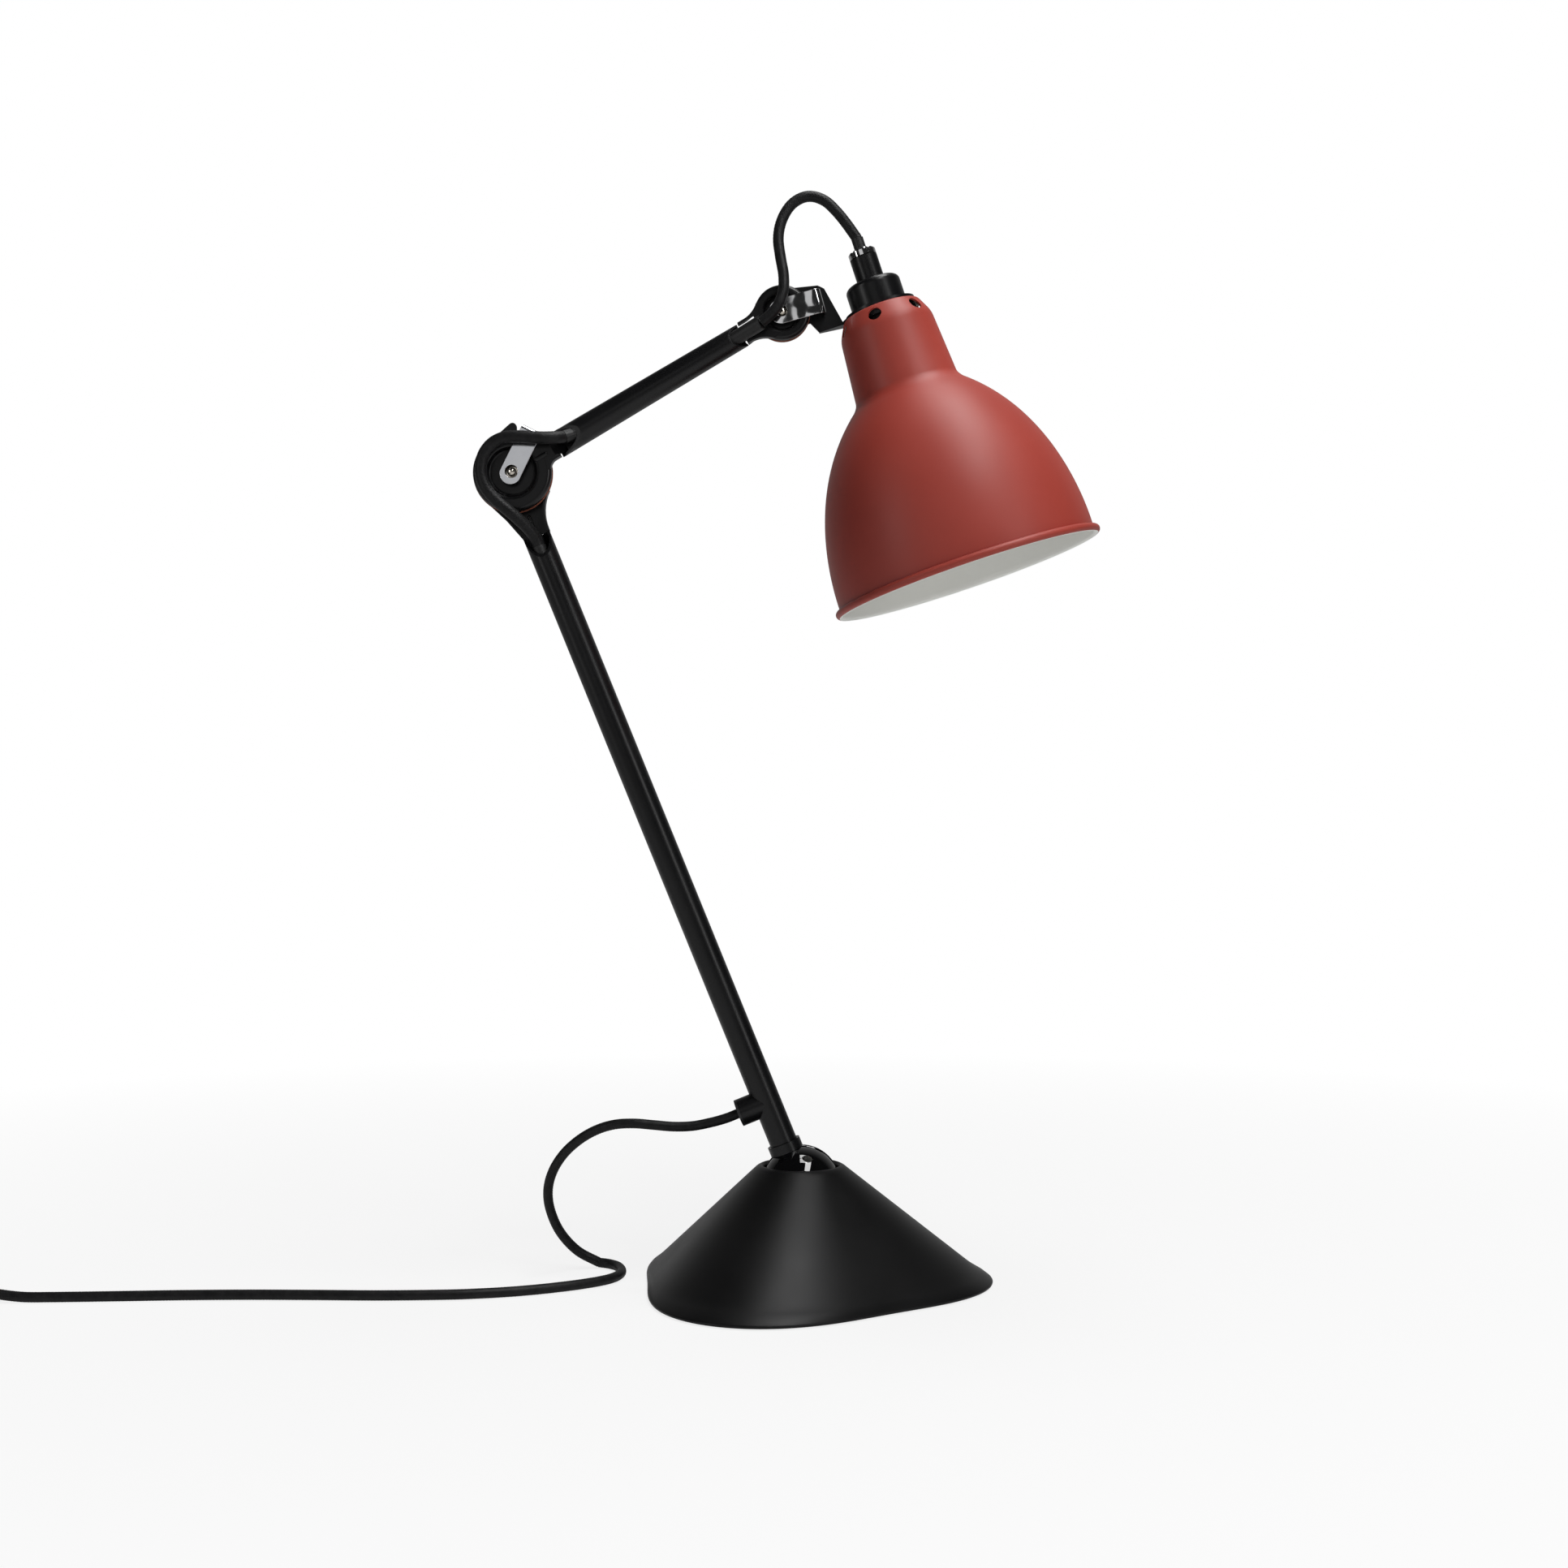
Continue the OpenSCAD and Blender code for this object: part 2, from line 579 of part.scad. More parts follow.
// A plain pin with a domed end at z1
function pin_profile(r, z0, z1) = concat([[0, z0], [r, z0]], arc(0, z1 - r * 0.5, r, 0, 90, 6));
module pin(r, z0, z1, collar_z, collar_r, collar_t) {
    rotate_extrude() polygon(pin_profile(r, z0, z1 - r * 0.5));
    translate([0, 0, collar_z]) cylinder(h = collar_t, r = collar_r);
}
module elbow_pin() {
    color("#c9c4b8") in_plan(elbow_x, elbow_z, 0)
        pin(elbow_pin_d / 2, -strip_front - strip_t, strip_front + strip_t + pin_out,
            front_z + sheet + fit, elbow_pin_d / 2 + 2.3, 1);
}
module elbow_nut() {
    color("#b9b6ae") in_plan(elbow_x, elbow_z, 0) mirror([0, 0, 1])
        translate([0, 0, rear_z + sheet + fit]) difference() {
            cylinder(h = 2.2, r = elbow_pin_d / 2 + 2.4, $fn = 6);
            translate([0, 0, -1]) cylinder(h = 5, r = elbow_pin_d / 2 + fit);
        }
}
// A strip bent over the rim: a front leg from x0, the web at x1 and the same leg behind
function strip_path(x0, x1, z0, bend) = concat(
    [[x0, z0 + strip_t]], arc(x1 - bend, z0 + strip_t - bend, bend, 90, 0, 5));
module strip(x0, x1, z0, bend, w, end_r) {
    intersection() {
        rotate([90, 0, 0]) translate([0, 0, -w / 2]) linear_extrude(w) polygon(concat(
            strip_path(x0, x1, z0, bend),
            flip([for (p = strip_path(x0, x1, z0, bend)) [p[0], -p[1]]]),
            [[x0, -z0]], arc(x1 - bend, -z0 - strip_t + bend, bend - strip_t, -90, 0, 4),
            arc(x1 - bend, z0 + strip_t - bend, bend - strip_t, 0, 90, 4), [[x0, z0]]));
        translate([0, 0, -20]) linear_extrude(40) {
            translate([end_r - 6.6, 0]) circle(r = end_r);
            translate([end_r - 6.6, -w / 2]) square([x1 + 10, w]);
        }
    }
}
elbow_web = elbow_r + 4.1;
module elbow_stirrup() {
    color("#cfd2d6") in_plan(elbow_x, elbow_z, elbow_strip_dir) difference() {
        strip(-8, elbow_web, strip_front, 2.2, elbow_strip_w, elbow_strip_w / 2);
        translate([0, 0, -20]) cylinder(h = 40, r = elbow_pin_d / 2 + 0.9);
    }
}
upper_sleeve_a = [31.4, upper_off + 0.8, 4.9];
upper_sleeve_b = [37.2, upper_off + 0.1, 2.12];
upper_sleeve_c = [45, upper_off, 2.12];
module sleeve(a, b, r) {
    run = b - a;
    translate(a) rotate([0, acos(run[2] / norm(run)), atan2(run[1], run[0])]) cylinder(h = norm(run), r = r);
}
module upper_sleeve() {
    bend = upper_sleeve_a - upper_sleeve_b;
    color("#222224") in_plan(elbow_x, elbow_z, upper_rise)
        tube([upper_sleeve_a, upper_sleeve_b + 0.3 * bend, upper_sleeve_b + [1.6, 0, 0], upper_sleeve_c],
            sleeve_d - 0.1, -bend, [1, 0, 0], 16);
}
module head_front_disc() {
    half = upper_r(upper_len) - 0.1;
    color("#18181a") in_plan(head_x, head_z, upper_rise + 180) translate([0, 0, front_z]) difference() {
        union() {
            pan(head_r, head_dish_d / 2, head_depth, head_pin_d / 2 + pin_gap);
            neck(head_r, [half - upper_off, half + upper_off], [head_rho, head_rho], head_lip - 0.4, head_depth, 13.5);
            tongue_sheet(13.5, head_depth, half - 1.6, 21.8, head_tongue_z - front_z,
                tongue_half(upper_r(upper_len - head_lip) - tube_wall, head_tongue_z), 38);
        }
        translate([0, 0, -1]) cylinder(h = 9, r = head_pin_d / 2 + pin_gap);
    }
}
head_tongue_z = -3;
// The sleeve on the head's cord slopes out of the tube's mouth over the knuckle
head_sleeve_r = sleeve_d / 2 + 0.35;
head_sleeve_a = [12.4, 0.5, front_z + head_depth + head_sleeve_r + 1.3];
head_sleeve_b = [27, -upper_off, 1.6];
module head_sleeve() {
    color("#222224") in_plan(head_x, head_z, upper_rise + 180) sleeve(head_sleeve_a, head_sleeve_b, head_sleeve_r);
}

// Head
foot_z = -shade_drop + fit;
side_z = rear_z + head_depth - sheet;
cap_seat = foot_z + foot_t + fit;
top_plate_r = 18;
stub_r = 12;
module head_bracket() {
    color("#18181a") {
        in_plan(head_x, head_z, shade_tilt) mirror([0, 0, 1]) difference() {
            union() {
                translate([0, 0, rear_z]) pan(head_r, head_dish_d / 2, head_depth, head_pin_d / 2 + fit);
                translate([0, 0, side_z]) linear_extrude(sheet) difference() {
                    polygon([[3, 13.5], [10.2, 11.3], [21.7, 8.8], [24.3, 6.3], [28, foot_z + foot_t],
                        [28, foot_z], [15.2, foot_z], [12.3, -8.2], [8, -8]]);
                    circle(r = head_r - 2);
                }
            }
        }
        on_head() difference() {
            union() {
                translate([shade_out, 0, foot_z]) cylinder(h = foot_t, r = top_plate_r);
                translate([0, 0, foot_z]) linear_extrude(foot_t) polygon([[15.2, side_z], [28, side_z],
                    [shade_out - 13.5, -12], [shade_out, 0], [shade_out - 5.5, 17.1], [15.2, side_z + 2.5]]);
            }
            translate([shade_out, 0, foot_z - 1]) cylinder(h = foot_t + 2, r = stub_r + 0.15);
        }
    }
}
module head_washer() {
    color("#8a4636") in_plan(head_x, head_z, 0) translate([0, 0, -washer_t / 2]) difference() {
        cylinder(h = washer_t, r = head_r + 0.25);
        translate([0, 0, -1]) cylinder(h = washer_t + 2, r = head_pin_d / 2 + 0.15);
    }
}
module head_pin() {
    color("#c9c4b8") in_plan(head_x, head_z, 0)
        pin(head_pin_d / 2, -rear_z - head_depth - 0.6, head_strip_front + strip_t + pin_out,
            front_z + sheet + fit, head_pin_d / 2 + 2, 0.9);
}
module head_nut() {
    color("#b9b6ae") in_plan(head_x, head_z, 0) mirror([0, 0, 1])
        translate([0, 0, rear_z + sheet + fit]) difference() {
            cylinder(h = 2, r = head_pin_d / 2 + 2.2, $fn = 6);
            translate([0, 0, -1]) cylinder(h = 5, r = head_pin_d / 2 + fit);
        }
}
head_web = head_r + 7.7;
module head_stirrup() {
    color("#cfd2d6") in_plan(head_x, head_z, head_strip_dir) difference() {
        strip(-8, head_web, head_strip_front, 4, head_strip_w, head_strip_w / 2);
        translate([-10, -10, -20 - side_z]) cube([40, 20, 20]);
        translate([0, 0, -20]) cylinder(h = 40, r = head_pin_d / 2 + 0.6);
    }
}

// Shade: spun sheet of even wall, drawn as half its section with the height from the rim
neck_z = bell_h + 5;
shoulder_z = shade_h - 8.7;
function bezier(a, b, c, d, n) = [for (i = [0:n]) let (t = i / n, u = 1 - t)
    u * u * u * a + 3 * u * u * t * b + 3 * u * t * t * c + t * t * t * d];
bell = bezier([bell_r, bead_r], [bell_r + 0.7, 22], [bell_r - 3.3, bell_h * 0.7], [waist_r, bell_h], 16);
shade_curve = concat(bell, bezier([waist_r, bell_h], [waist_r - 1.7, bell_h + 1.9],
    [neck_r + 0.3, neck_z - 1.8], [neck_r, neck_z], 4), [[neck_top_r, shoulder_z], [top_r, shade_h]]);
// The same curve moved inwards by d, square to itself
function inset(pts, d) = [for (i = [0:len(pts) - 1]) let (
    t = unit(pts[min(i + 1, len(pts) - 1)] - pts[max(i - 1, 0)])) pts[i] + d * [-t[1], t[0]]];
module shade() {
    inner = inset(shade_curve, shade_wall);
    n = len(inner) - 1;
    color("#a5483e") on_shade() difference() {
        union() {
            rotate_extrude() polygon(concat(shade_curve, [[stub_r + 0.2, shade_h], [stub_r + 0.2, shade_h - shade_wall]],
                [[inner[n][0] - 0.6, shade_h - shade_wall]], flip([for (i = [0:n - 1]) inner[i]])));
            rotate_extrude() translate([bell_r + bead_r * 0.4, bead_r]) circle(r = bead_r, $fn = 24);
        }
        for (i = [0:vents - 1]) rotate(i * 360 / vents - 106) translate([neck_top_r - 1.8, 0, shoulder_z + 3.6])
            rotate([0, 66, 0]) translate([0, 0, -4]) cylinder(h = 10, r = vent_d / 2);
    }
}

// Lamp holder and cap, on the shade's axis with z at the pivot's height
cap_r = cap_d / 2;
cap_neck_r = cap_neck_d / 2;
cord_bore = sleeve_d / 2 - 0.3;
cap_top = cap_seat + cap_h;
neck_top = cap_top + cap_neck_h;
stub_top = cap_seat + 8;
cap_sleeve_top = neck_top + nut_h + 6.5;
holder_z = -shade_drop - shade_wall - 3.4;
holder_low = holder_z - holder_l;
tip_z = holder_z - 3;
module on_axis() {
    on_head() translate([shade_out, 0, 0]) children();
}
module holder_cap() {
    bend = 3;
    color("#141416") on_axis() rotate_extrude() polygon(concat([[cap_r, cap_seat]],
        arc(cap_r - bend, cap_top - bend, bend, 0, 90, 6),
        [[cap_neck_r, cap_top], [cap_neck_r, neck_top - 0.4], [cap_neck_r - 0.4, neck_top], [cord_bore, neck_top],
        [cord_bore, stub_top + 1], [stub_r + 0.4, stub_top + 1], [stub_r + 0.4, cap_seat]]));
}
module cord_nut() {
    color("#cfd2d6") on_axis() translate([0, 0, neck_top + fit]) difference() {
        rotate_extrude() polygon([[cord_bore, 0], [cap_neck_r, 0], [cap_neck_r, nut_h - 0.8],
            [cap_neck_r - 0.8, nut_h], [cord_bore, nut_h]]);
        for (a = [35, 125]) rotate(a) translate([-10, -1.1, nut_h - 1.8]) cube([20, 2.2, 3]);
    }
}
module cap_sleeve() {
    color("#222224") on_axis() translate([0, 0, neck_top - 4])
        cylinder(h = cap_sleeve_top - neck_top + 4, r = cord_bore - 0.1);
}
module lamp_holder() {
    color("#0f0f10") on_axis() rotate_extrude() polygon([[holder_d / 2, holder_low], [holder_d / 2, holder_z],
        [stub_r, holder_z], [stub_r, stub_top], [cord_bore, stub_top], [cord_bore, holder_z - 1],
        [8, holder_z - 1], [8, holder_low]]);
}
module holder_ring() {
    color("#0f0f10") on_axis() translate([0, 0, holder_z + fit]) difference() {
        cylinder(h = 3.3, r = top_r - shade_wall - 1, $fn = 48);
        translate([0, 0, -1]) cylinder(h = 6, r = stub_r + fit);
        for (i = [0:11]) rotate(30 * i) translate([top_r - shade_wall - 0.4, 0, -1]) cylinder(h = 6, r = 1.4);
    }
}
module holder_thread() {
    color("#b59a55") on_axis() translate([0, 0, holder_low + 4]) difference() {
        cylinder(h = holder_z - holder_low - 5.1, r = 7.9);
        translate([0, 0, -1]) cylinder(h = holder_l, r = 7.1);
    }
}
module holder_contact() {
    color("#b59a55") on_axis() translate([0, 0, tip_z + fit]) {
        cylinder(h = 1, r = 2);
        translate([0, 0, 0.9]) cylinder(h = 1.05 - 2 * fit, r = 5);
    }
}
cap_l = 24;
bulb_r = bulb_d / 2;
bulb_z = tip_z - bulb_l + bulb_r;
glass_top = tip_z - cap_l;
module bulb_cap() {
    color("#b8b4a6") on_axis() rotate_extrude() polygon([[0, tip_z], [2.2, tip_z], [3.4, tip_z - 1.4],
        [6.9, tip_z - 3], [6.9, glass_top], [0, glass_top]]);
}
module bulb_globe() {
    waist = asin(10.6 / bulb_r);
    outer = concat(arc(0, bulb_z, bulb_r, -90, 90 - waist, 14),
        bezier([10.6, bulb_z + bulb_r * cos(waist)], [8.6, bulb_z + bulb_r * cos(waist) + 1.6],
            [7, glass_top - 5], [6.9, glass_top - 0.1], 4));
    glass = [for (p = inset(outer, 0.9)) [max(p[0], 0), p[1]]];
    color("#f2f0ea") on_axis() rotate_extrude() polygon(concat(outer, flip(glass)));
}

// Cords: a round tube swept along hand-chosen points, with both end faces square to what they meet
sides_n = 10;
function along(pts, d0, d1) = [for (i = [0:len(pts) - 1])
    i == 0 ? unit(d0) : i == len(pts) - 1 ? unit(d1) : unit(pts[i + 1] - pts[i - 1])];
function side_of(t) = unit(cross(t, abs(t[2]) > 0.9 ? [0, 1, 0] : [0, 0, 1]));
module tube(pts, d, d0, d1, n) {
    dirs = along(pts, d0, d1);
    rings = [for (i = [0:len(pts) - 1]) let (u = carried(dirs, i), v = cross(dirs[i], u))
        for (k = [0:n - 1]) pts[i] + d / 2 * (cos(360 * k / n) * u + sin(360 * k / n) * v)];
    m = len(pts);
    walls = [for (i = [0:m - 2]) for (k = [0:n - 1]) let (a = i * n + k, b = i * n + (k + 1) % n)
        each [[a, b, b + n], [a, b + n, a + n]]];
    cap0 = [for (k = [1:n - 2]) [0, k + 1, k]];
    cap1 = [for (k = [1:n - 2]) [(m - 1) * n, (m - 1) * n + k, (m - 1) * n + k + 1]];
    polyhedron(points = rings, faces = [for (f = concat(walls, cap0, cap1)) [f[0], f[2], f[1]]], convexity = 8);
}
// The side direction is carried along from ring to ring, so that the tube doesn't twist
function carried(dirs, i) = i == 0 ? side_of(dirs[0]) :
    let (u = carried(dirs, i - 1)) unit(u - (u * dirs[i]) * dirs[i]);
// A route shifted so that its ends lie at a and b
function follow(pts, a, b) = let (n = len(pts) - 1)
    [for (i = [0:n]) pts[i] + (a - pts[0]) * (1 - i / n) + (b - pts[n]) * i / n];
function plan_point(x, z, dir, p) = [x + p[0] * cos(dir) - p[1] * sin(dir), -p[2],
    z + p[0] * sin(dir) + p[1] * cos(dir)];
function axis_point(z) = plan_point(head_x, head_z, shade_tilt, [shade_out, z, 0]);
elbow_start = plan_point(elbow_x, elbow_z, lower_dir, lower_sleeve_at - [0.02, 0, 0]);
elbow_end = plan_point(elbow_x, elbow_z, upper_rise, upper_sleeve_a);
elbow_route = follow([[-131.4, -1.5, 369.7], [-132.8, -2.6, 373.6], [-136, -5, 378], [-140.8, -7.6, 382.6],
    [-146, -9, 387], [-151.6, -9, 391.8], [-156.4, -9, 397.4], [-159, -9, 403.6], [-159.4, -9, 410],
    [-157.6, -9, 416], [-153.4, -9.4, 420.8], [-147.4, -10, 423.4], [-141, -10.4, 423.8],
    [-134.4, -10.4, 423.5], [-128.6, -9.9, 423.4], [-123.2, -8, 424], [-118.9, -4.7, 425]],
    elbow_start, elbow_end);
head_start = plan_point(head_x, head_z, upper_rise + 180, head_sleeve_a);
head_route = follow([[-19.9, -9.5, 480], [-17.4, -10.2, 481.8], [-14, -10.9, 484.9], [-11, -10.7, 489.3],
    [-8.9, -9.6, 496], [-8.8, -7.8, 504.2], [-10.4, -5.6, 514], [-11.4, -3.6, 523.6], [-9.9, -2, 532.4],
    [-5.8, -0.8, 540.2], [-0.2, -0.2, 544.6], [5.8, 0, 545.6], [12.2, 0, 543.2], [17.8, 0, 538],
    [22.8, 0, 531.9], [28.1, 0, 524.4]], head_start, axis_point(cap_sleeve_top + 0.02));
drop_start = [-boss_up * sin(lower_lean) - (boss_reach + 0.02) * cos(lower_lean), 0,
    ball_z + boss_up * cos(lower_lean) - (boss_reach + 0.02) * sin(lower_lean)];
drop_route = follow([[-31.3, 0, 85.6], [-37.6, 0, 83.1], [-45.5, 0, 80.9], [-54.5, 0, 79.2], [-64, 0, 78.9],
    [-74, 0, 79.7], [-84, 0.5, 80.4], [-94, 2.5, 79.5], [-103.5, 5.5, 76.2], [-112.5, 9, 70.6],
    [-120.5, 12.5, 63], [-126.5, 16.5, 53.5], [-129.4, 20.5, 43], [-128.6, 24.5, 32], [-124, 28.5, 20],
    [-115.6, 32.5, 9.6], [-104.5, 35, 2.9]], drop_start, [-104.5, 35, 2.9]);
floor_route = [[-104.5, 35, 2.9], [-98.6, 32.6, 2.6], [-94.2, 27, 2.6], [-91.8, 19, 2.6], [-91.6, 10.5, 2.6],
    [-94.4, 2, 2.6], [-100.2, -5.2, 2.6], [-108.4, -11.6, 2.6], [-118, -17.4, 2.6], [-129, -22.8, 2.6],
    [-141, -27.4, 2.6], [-155, -31, 2.6], [-172, -33.7, 2.6], [-204, -35.2, 2.6],
    [-236, -34.3, 2.6], [-268, -33.8, 2.6], [-300, -34.7, 2.6], [-332, -36.9, 2.6], [-362, -38.6, 2.6],
    [-376, -39, 2.8], [-389, -39.2, 4.4], [-402, -39.2, 6.5]];
link_route = [[-458, -39.2, 6.5], [-470, -39.2, 4.8], [-482, -39.2, 2.9], [-495, -39.2, 2.6]];
tail_route = [[-535.6, 3, 8.2], [-535.6, 12, 7.8], [-535.6, 21, 7]];
into_head = [sin(shade_tilt), 0, -cos(shade_tilt)];
from_lower = [-sin(lower_lean), 0, cos(lower_lean)];
into_upper = plan_point(0, 0, upper_rise, upper_sleeve_b - upper_sleeve_a);
from_sleeve = plan_point(0, 0, upper_rise + 180, head_sleeve_a - head_sleeve_b);
down_run = [0.95, 0.05, -0.3];
module elbow_cord() {
    color("#161617") tube(elbow_route, elbow_cord_d, from_lower, into_upper, sides_n);
}
module head_cord() {
    color("#161617") tube(head_route, head_cord_d, from_sleeve, into_head, sides_n);
}
module mains_cord_drop() {
    color("#161617") tube(drop_route, cord_d, [-cos(lower_lean), 0, -sin(lower_lean)], down_run, sides_n);
}
module mains_cord_floor() {
    color("#161617") tube(floor_route, cord_d, down_run, [-1, 0, 0], sides_n);
}
module mains_cord_link() {
    color("#161617") tube(link_route, cord_d, [-1, 0, 0], [-1, 0, 0], sides_n);
}
module mains_cord_tail() {
    color("#161617") tube(tail_route, cord_d, [0, 1, 0], [0, 1, 0], sides_n);
}
// Coil: inwards on the floor, up a layer in half a turn, and outwards on top, all clockwise from above
coil_x = -500;
coil_r = 37;
coil_y = -39.2 + coil_r;
coil_pitch = cord_d + 0.6;
coil_z = 2.6;
coil_out = coil_turns - 0.25;
coil_turn_t = coil_turns + 0.25;
coil_end_r = coil_r - coil_pitch * 0.25;
loop_rings = 24;
coil_rings = loop_rings * (coil_turns + 0.5 + coil_out);
function coil_point(i) = let (t = i / loop_rings, up = min(max(t - coil_turns, 0), 0.5) * 2,
    r = coil_r - coil_pitch * (coil_turn_t - abs(t - coil_turn_t)),
    a = -90 - 360 * t)
    [coil_x + r * cos(a), coil_y + r * sin(a), coil_z + coil_pitch * (1 - cos(180 * up)) / 2];
coil_route = concat([[coil_x + cord_d, coil_y - coil_r, coil_z]], [for (i = [0:coil_rings]) coil_point(i)],
    [[coil_x - coil_end_r, coil_y + cord_d, coil_z + coil_pitch]]);
// The least gap between turns, on ring centres at least half a turn apart
function least(v, i = 0, m = 1e9) = i == len(v) ? m : least(v, i + 1, min(m, v[i]));
coil_gap = least([for (i = [0:2:coil_rings - 12]) least([for (j = [i + 12:coil_rings])
    norm(coil_point(i) - coil_point(j))])]) - cord_d;
echo("least gap of the coil to itself, mm", coil_gap);
module cord_coil() {
    color("#161617") tube(coil_route, cord_d, [-1, 0, 0], [0, 1, 0], 6);
}

// Switch on the cord, with a rocker across its top
switch_x = -402 - switch_l / 2;
switch_y = -39.2;
rocker_w = 9;
rocker_l = 15;
rocker_z = switch_h - 4;
rocker_tip = 6;
module round_box(l, w, h, r) {
    translate([-l / 2 + r, -w / 2, 0]) cube([l - 2 * r, w, h]);
    translate([-l / 2, -w / 2 + r, 0]) cube([l, w - 2 * r, h]);
    for (x = [-1, 1]) for (y = [-1, 1]) translate([x * (l / 2 - r), y * (w / 2 - r), 0]) cylinder(h = h, r = r);
}
module switch_housing() {
    color("#121213") translate([switch_x, switch_y, 0]) difference() {
        union() {
            round_box(switch_l, switch_w, switch_h - 1, 6);
            translate([0, 0, 1]) round_box(switch_l - 2, switch_w - 2, switch_h - 1, 5);
        }
        translate([-rocker_l / 2 - 1, -rocker_w / 2 - 0.3, switch_h - 9]) cube([rocker_l + 2, rocker_w + 0.6, 10]);
        translate([0, 0, rocker_z]) rotate([90, 0, 0]) translate([0, 0, -rocker_w / 2 - 1.6])
            cylinder(h = rocker_w + 3.2, r = 1.2 + pin_gap);
    }
}
module switch_rocker() {
    color("#1d1d1f") translate([switch_x, switch_y, rocker_z]) rotate([0, -rocker_tip, 0]) rotate([90, 0, 0]) {
        translate([0, 0, -rocker_w / 2]) linear_extrude(rocker_w) polygon([[-rocker_l / 2, 1], [-4, -2.6], [4, -2.6],
            [rocker_l / 2, 1], [rocker_l / 2, 6.2], [0, 4.6], [-rocker_l / 2, 6.2]]);
        translate([0, 0, -rocker_w / 2 - 1.2]) cylinder(h = rocker_w + 2.4, r = 1.2);
    }
}

// Plug, lying flat behind the coil with its pins along +Y
plug_x = -535.6;
plug_y = 21;
relief_l = 24;
plug_z = plug_t / 2 + 0.2;
module plug_relief() {
    color("#121213") translate([plug_x, plug_y, plug_z]) rotate([-90, 0, 0]) difference() {
        cylinder(h = relief_l, r1 = cord_d / 2 + 0.9, r2 = cord_d / 2 + 2.4);
        for (i = [0:3]) translate([0, 0, 4 + 5 * i]) rotate_extrude()
            polygon([[cord_d / 2 + 0.4, 0], [10, 0], [10, 1.8], [cord_d / 2 + 0.4, 1.8]]);
    }
}
module plug_body() {
    neck_w = 16;
    color("#121213") translate([plug_x, plug_y + relief_l, plug_z - plug_t / 2]) intersection() {
        linear_extrude(plug_t) polygon(concat([[-neck_w / 2, fit], [neck_w / 2, fit]],
            arc(plug_w / 2 - 4, 10, 4, -45, 0, 4), arc(plug_w / 2 - 3, plug_l - 3, 3, 0, 90, 4),
            arc(-plug_w / 2 + 3, plug_l - 3, 3, 90, 180, 4), arc(-plug_w / 2 + 4, 10, 4, 180, 225, 4)));
        translate([-plug_w, 0, 0]) rotate([90, 0, 90]) linear_extrude(2 * plug_w) polygon([[0, 3], [plug_l * 0.6, 0],
            [plug_l, 0], [plug_l, plug_t], [plug_l * 0.6, plug_t], [0, plug_t - 3]]);
    }
}
module plug_pins() {
    color("#c8c8ca") for (s = [-1, 1])
        translate([plug_x + s * plug_pitch / 2, plug_y + relief_l + plug_l + fit, plug_z]) rotate([-90, 0, 0])
        cylinder(h = plug_pin_l, r = plug_pin_d / 2);
}

base_shell();
floor_pad();
ballast_plate();
ballast_screws();
seat_bridge();
bridge_screws();
seat_springs();
seat_cup();
ball_front();
ball_rear();
ball_bolt();
ball_nut();
ball_washers();
arm_tongue();
arm_collar();
lower_tube();
cord_boss();
boss_bush();
elbow_rear_disc();
elbow_washer();
lower_sleeve();
upper_tube();
elbow_front_disc();
elbow_pin();
elbow_nut();
elbow_stirrup();
upper_sleeve();
head_front_disc();
head_sleeve();
head_bracket();
head_washer();
head_pin();
head_nut();
head_stirrup();
shade();
holder_cap();
cord_nut();
cap_sleeve();
lamp_holder();
holder_ring();
holder_thread();
holder_contact();
bulb_cap();
bulb_globe();
elbow_cord();
head_cord();
mains_cord_drop();
mains_cord_floor();
mains_cord_link();
cord_coil();
mains_cord_tail();
switch_housing();
switch_rocker();
plug_relief();
plug_body();
plug_pins();
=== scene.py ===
# %% [markdown]
# # Desk lamp: the looks
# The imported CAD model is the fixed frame: it settles every size, place and joint. This script dresses it.
# Each CAD part gets the finish of the real one, and finer pieces are made where a plain solid falls short:
# the braided cords, the spun shade, the cast base, the polished ball and the softened edges.
# All is in metres. The origin is on the floor under the ball, +X points to the shade and -Y to the viewer.

import math

import bmesh
import bpy
import numpy as np
from mathutils import Matrix, Vector


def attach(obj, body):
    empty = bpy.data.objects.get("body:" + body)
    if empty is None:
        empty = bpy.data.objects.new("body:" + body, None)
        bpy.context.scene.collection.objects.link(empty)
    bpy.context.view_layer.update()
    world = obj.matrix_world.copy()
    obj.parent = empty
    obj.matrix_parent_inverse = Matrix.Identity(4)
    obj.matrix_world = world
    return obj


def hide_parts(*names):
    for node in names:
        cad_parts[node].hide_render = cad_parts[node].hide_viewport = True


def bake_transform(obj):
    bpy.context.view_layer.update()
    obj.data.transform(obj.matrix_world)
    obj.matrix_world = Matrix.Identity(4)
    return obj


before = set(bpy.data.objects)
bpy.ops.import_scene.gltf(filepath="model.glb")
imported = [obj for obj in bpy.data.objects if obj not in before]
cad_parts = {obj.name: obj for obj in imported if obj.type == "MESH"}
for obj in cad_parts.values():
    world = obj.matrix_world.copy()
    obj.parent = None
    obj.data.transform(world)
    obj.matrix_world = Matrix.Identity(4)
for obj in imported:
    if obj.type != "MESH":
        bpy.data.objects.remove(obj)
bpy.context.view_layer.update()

# %% [markdown]
# ## Camera
# The photograph is level and square on, taken from about a metre away. The ellipses of the base and the
# shade's rim give the camera's height, and the spread between near and far edges gives its distance. A
# tilted camera would make the uprights lean, so the frame is shifted up instead, as on a view camera.

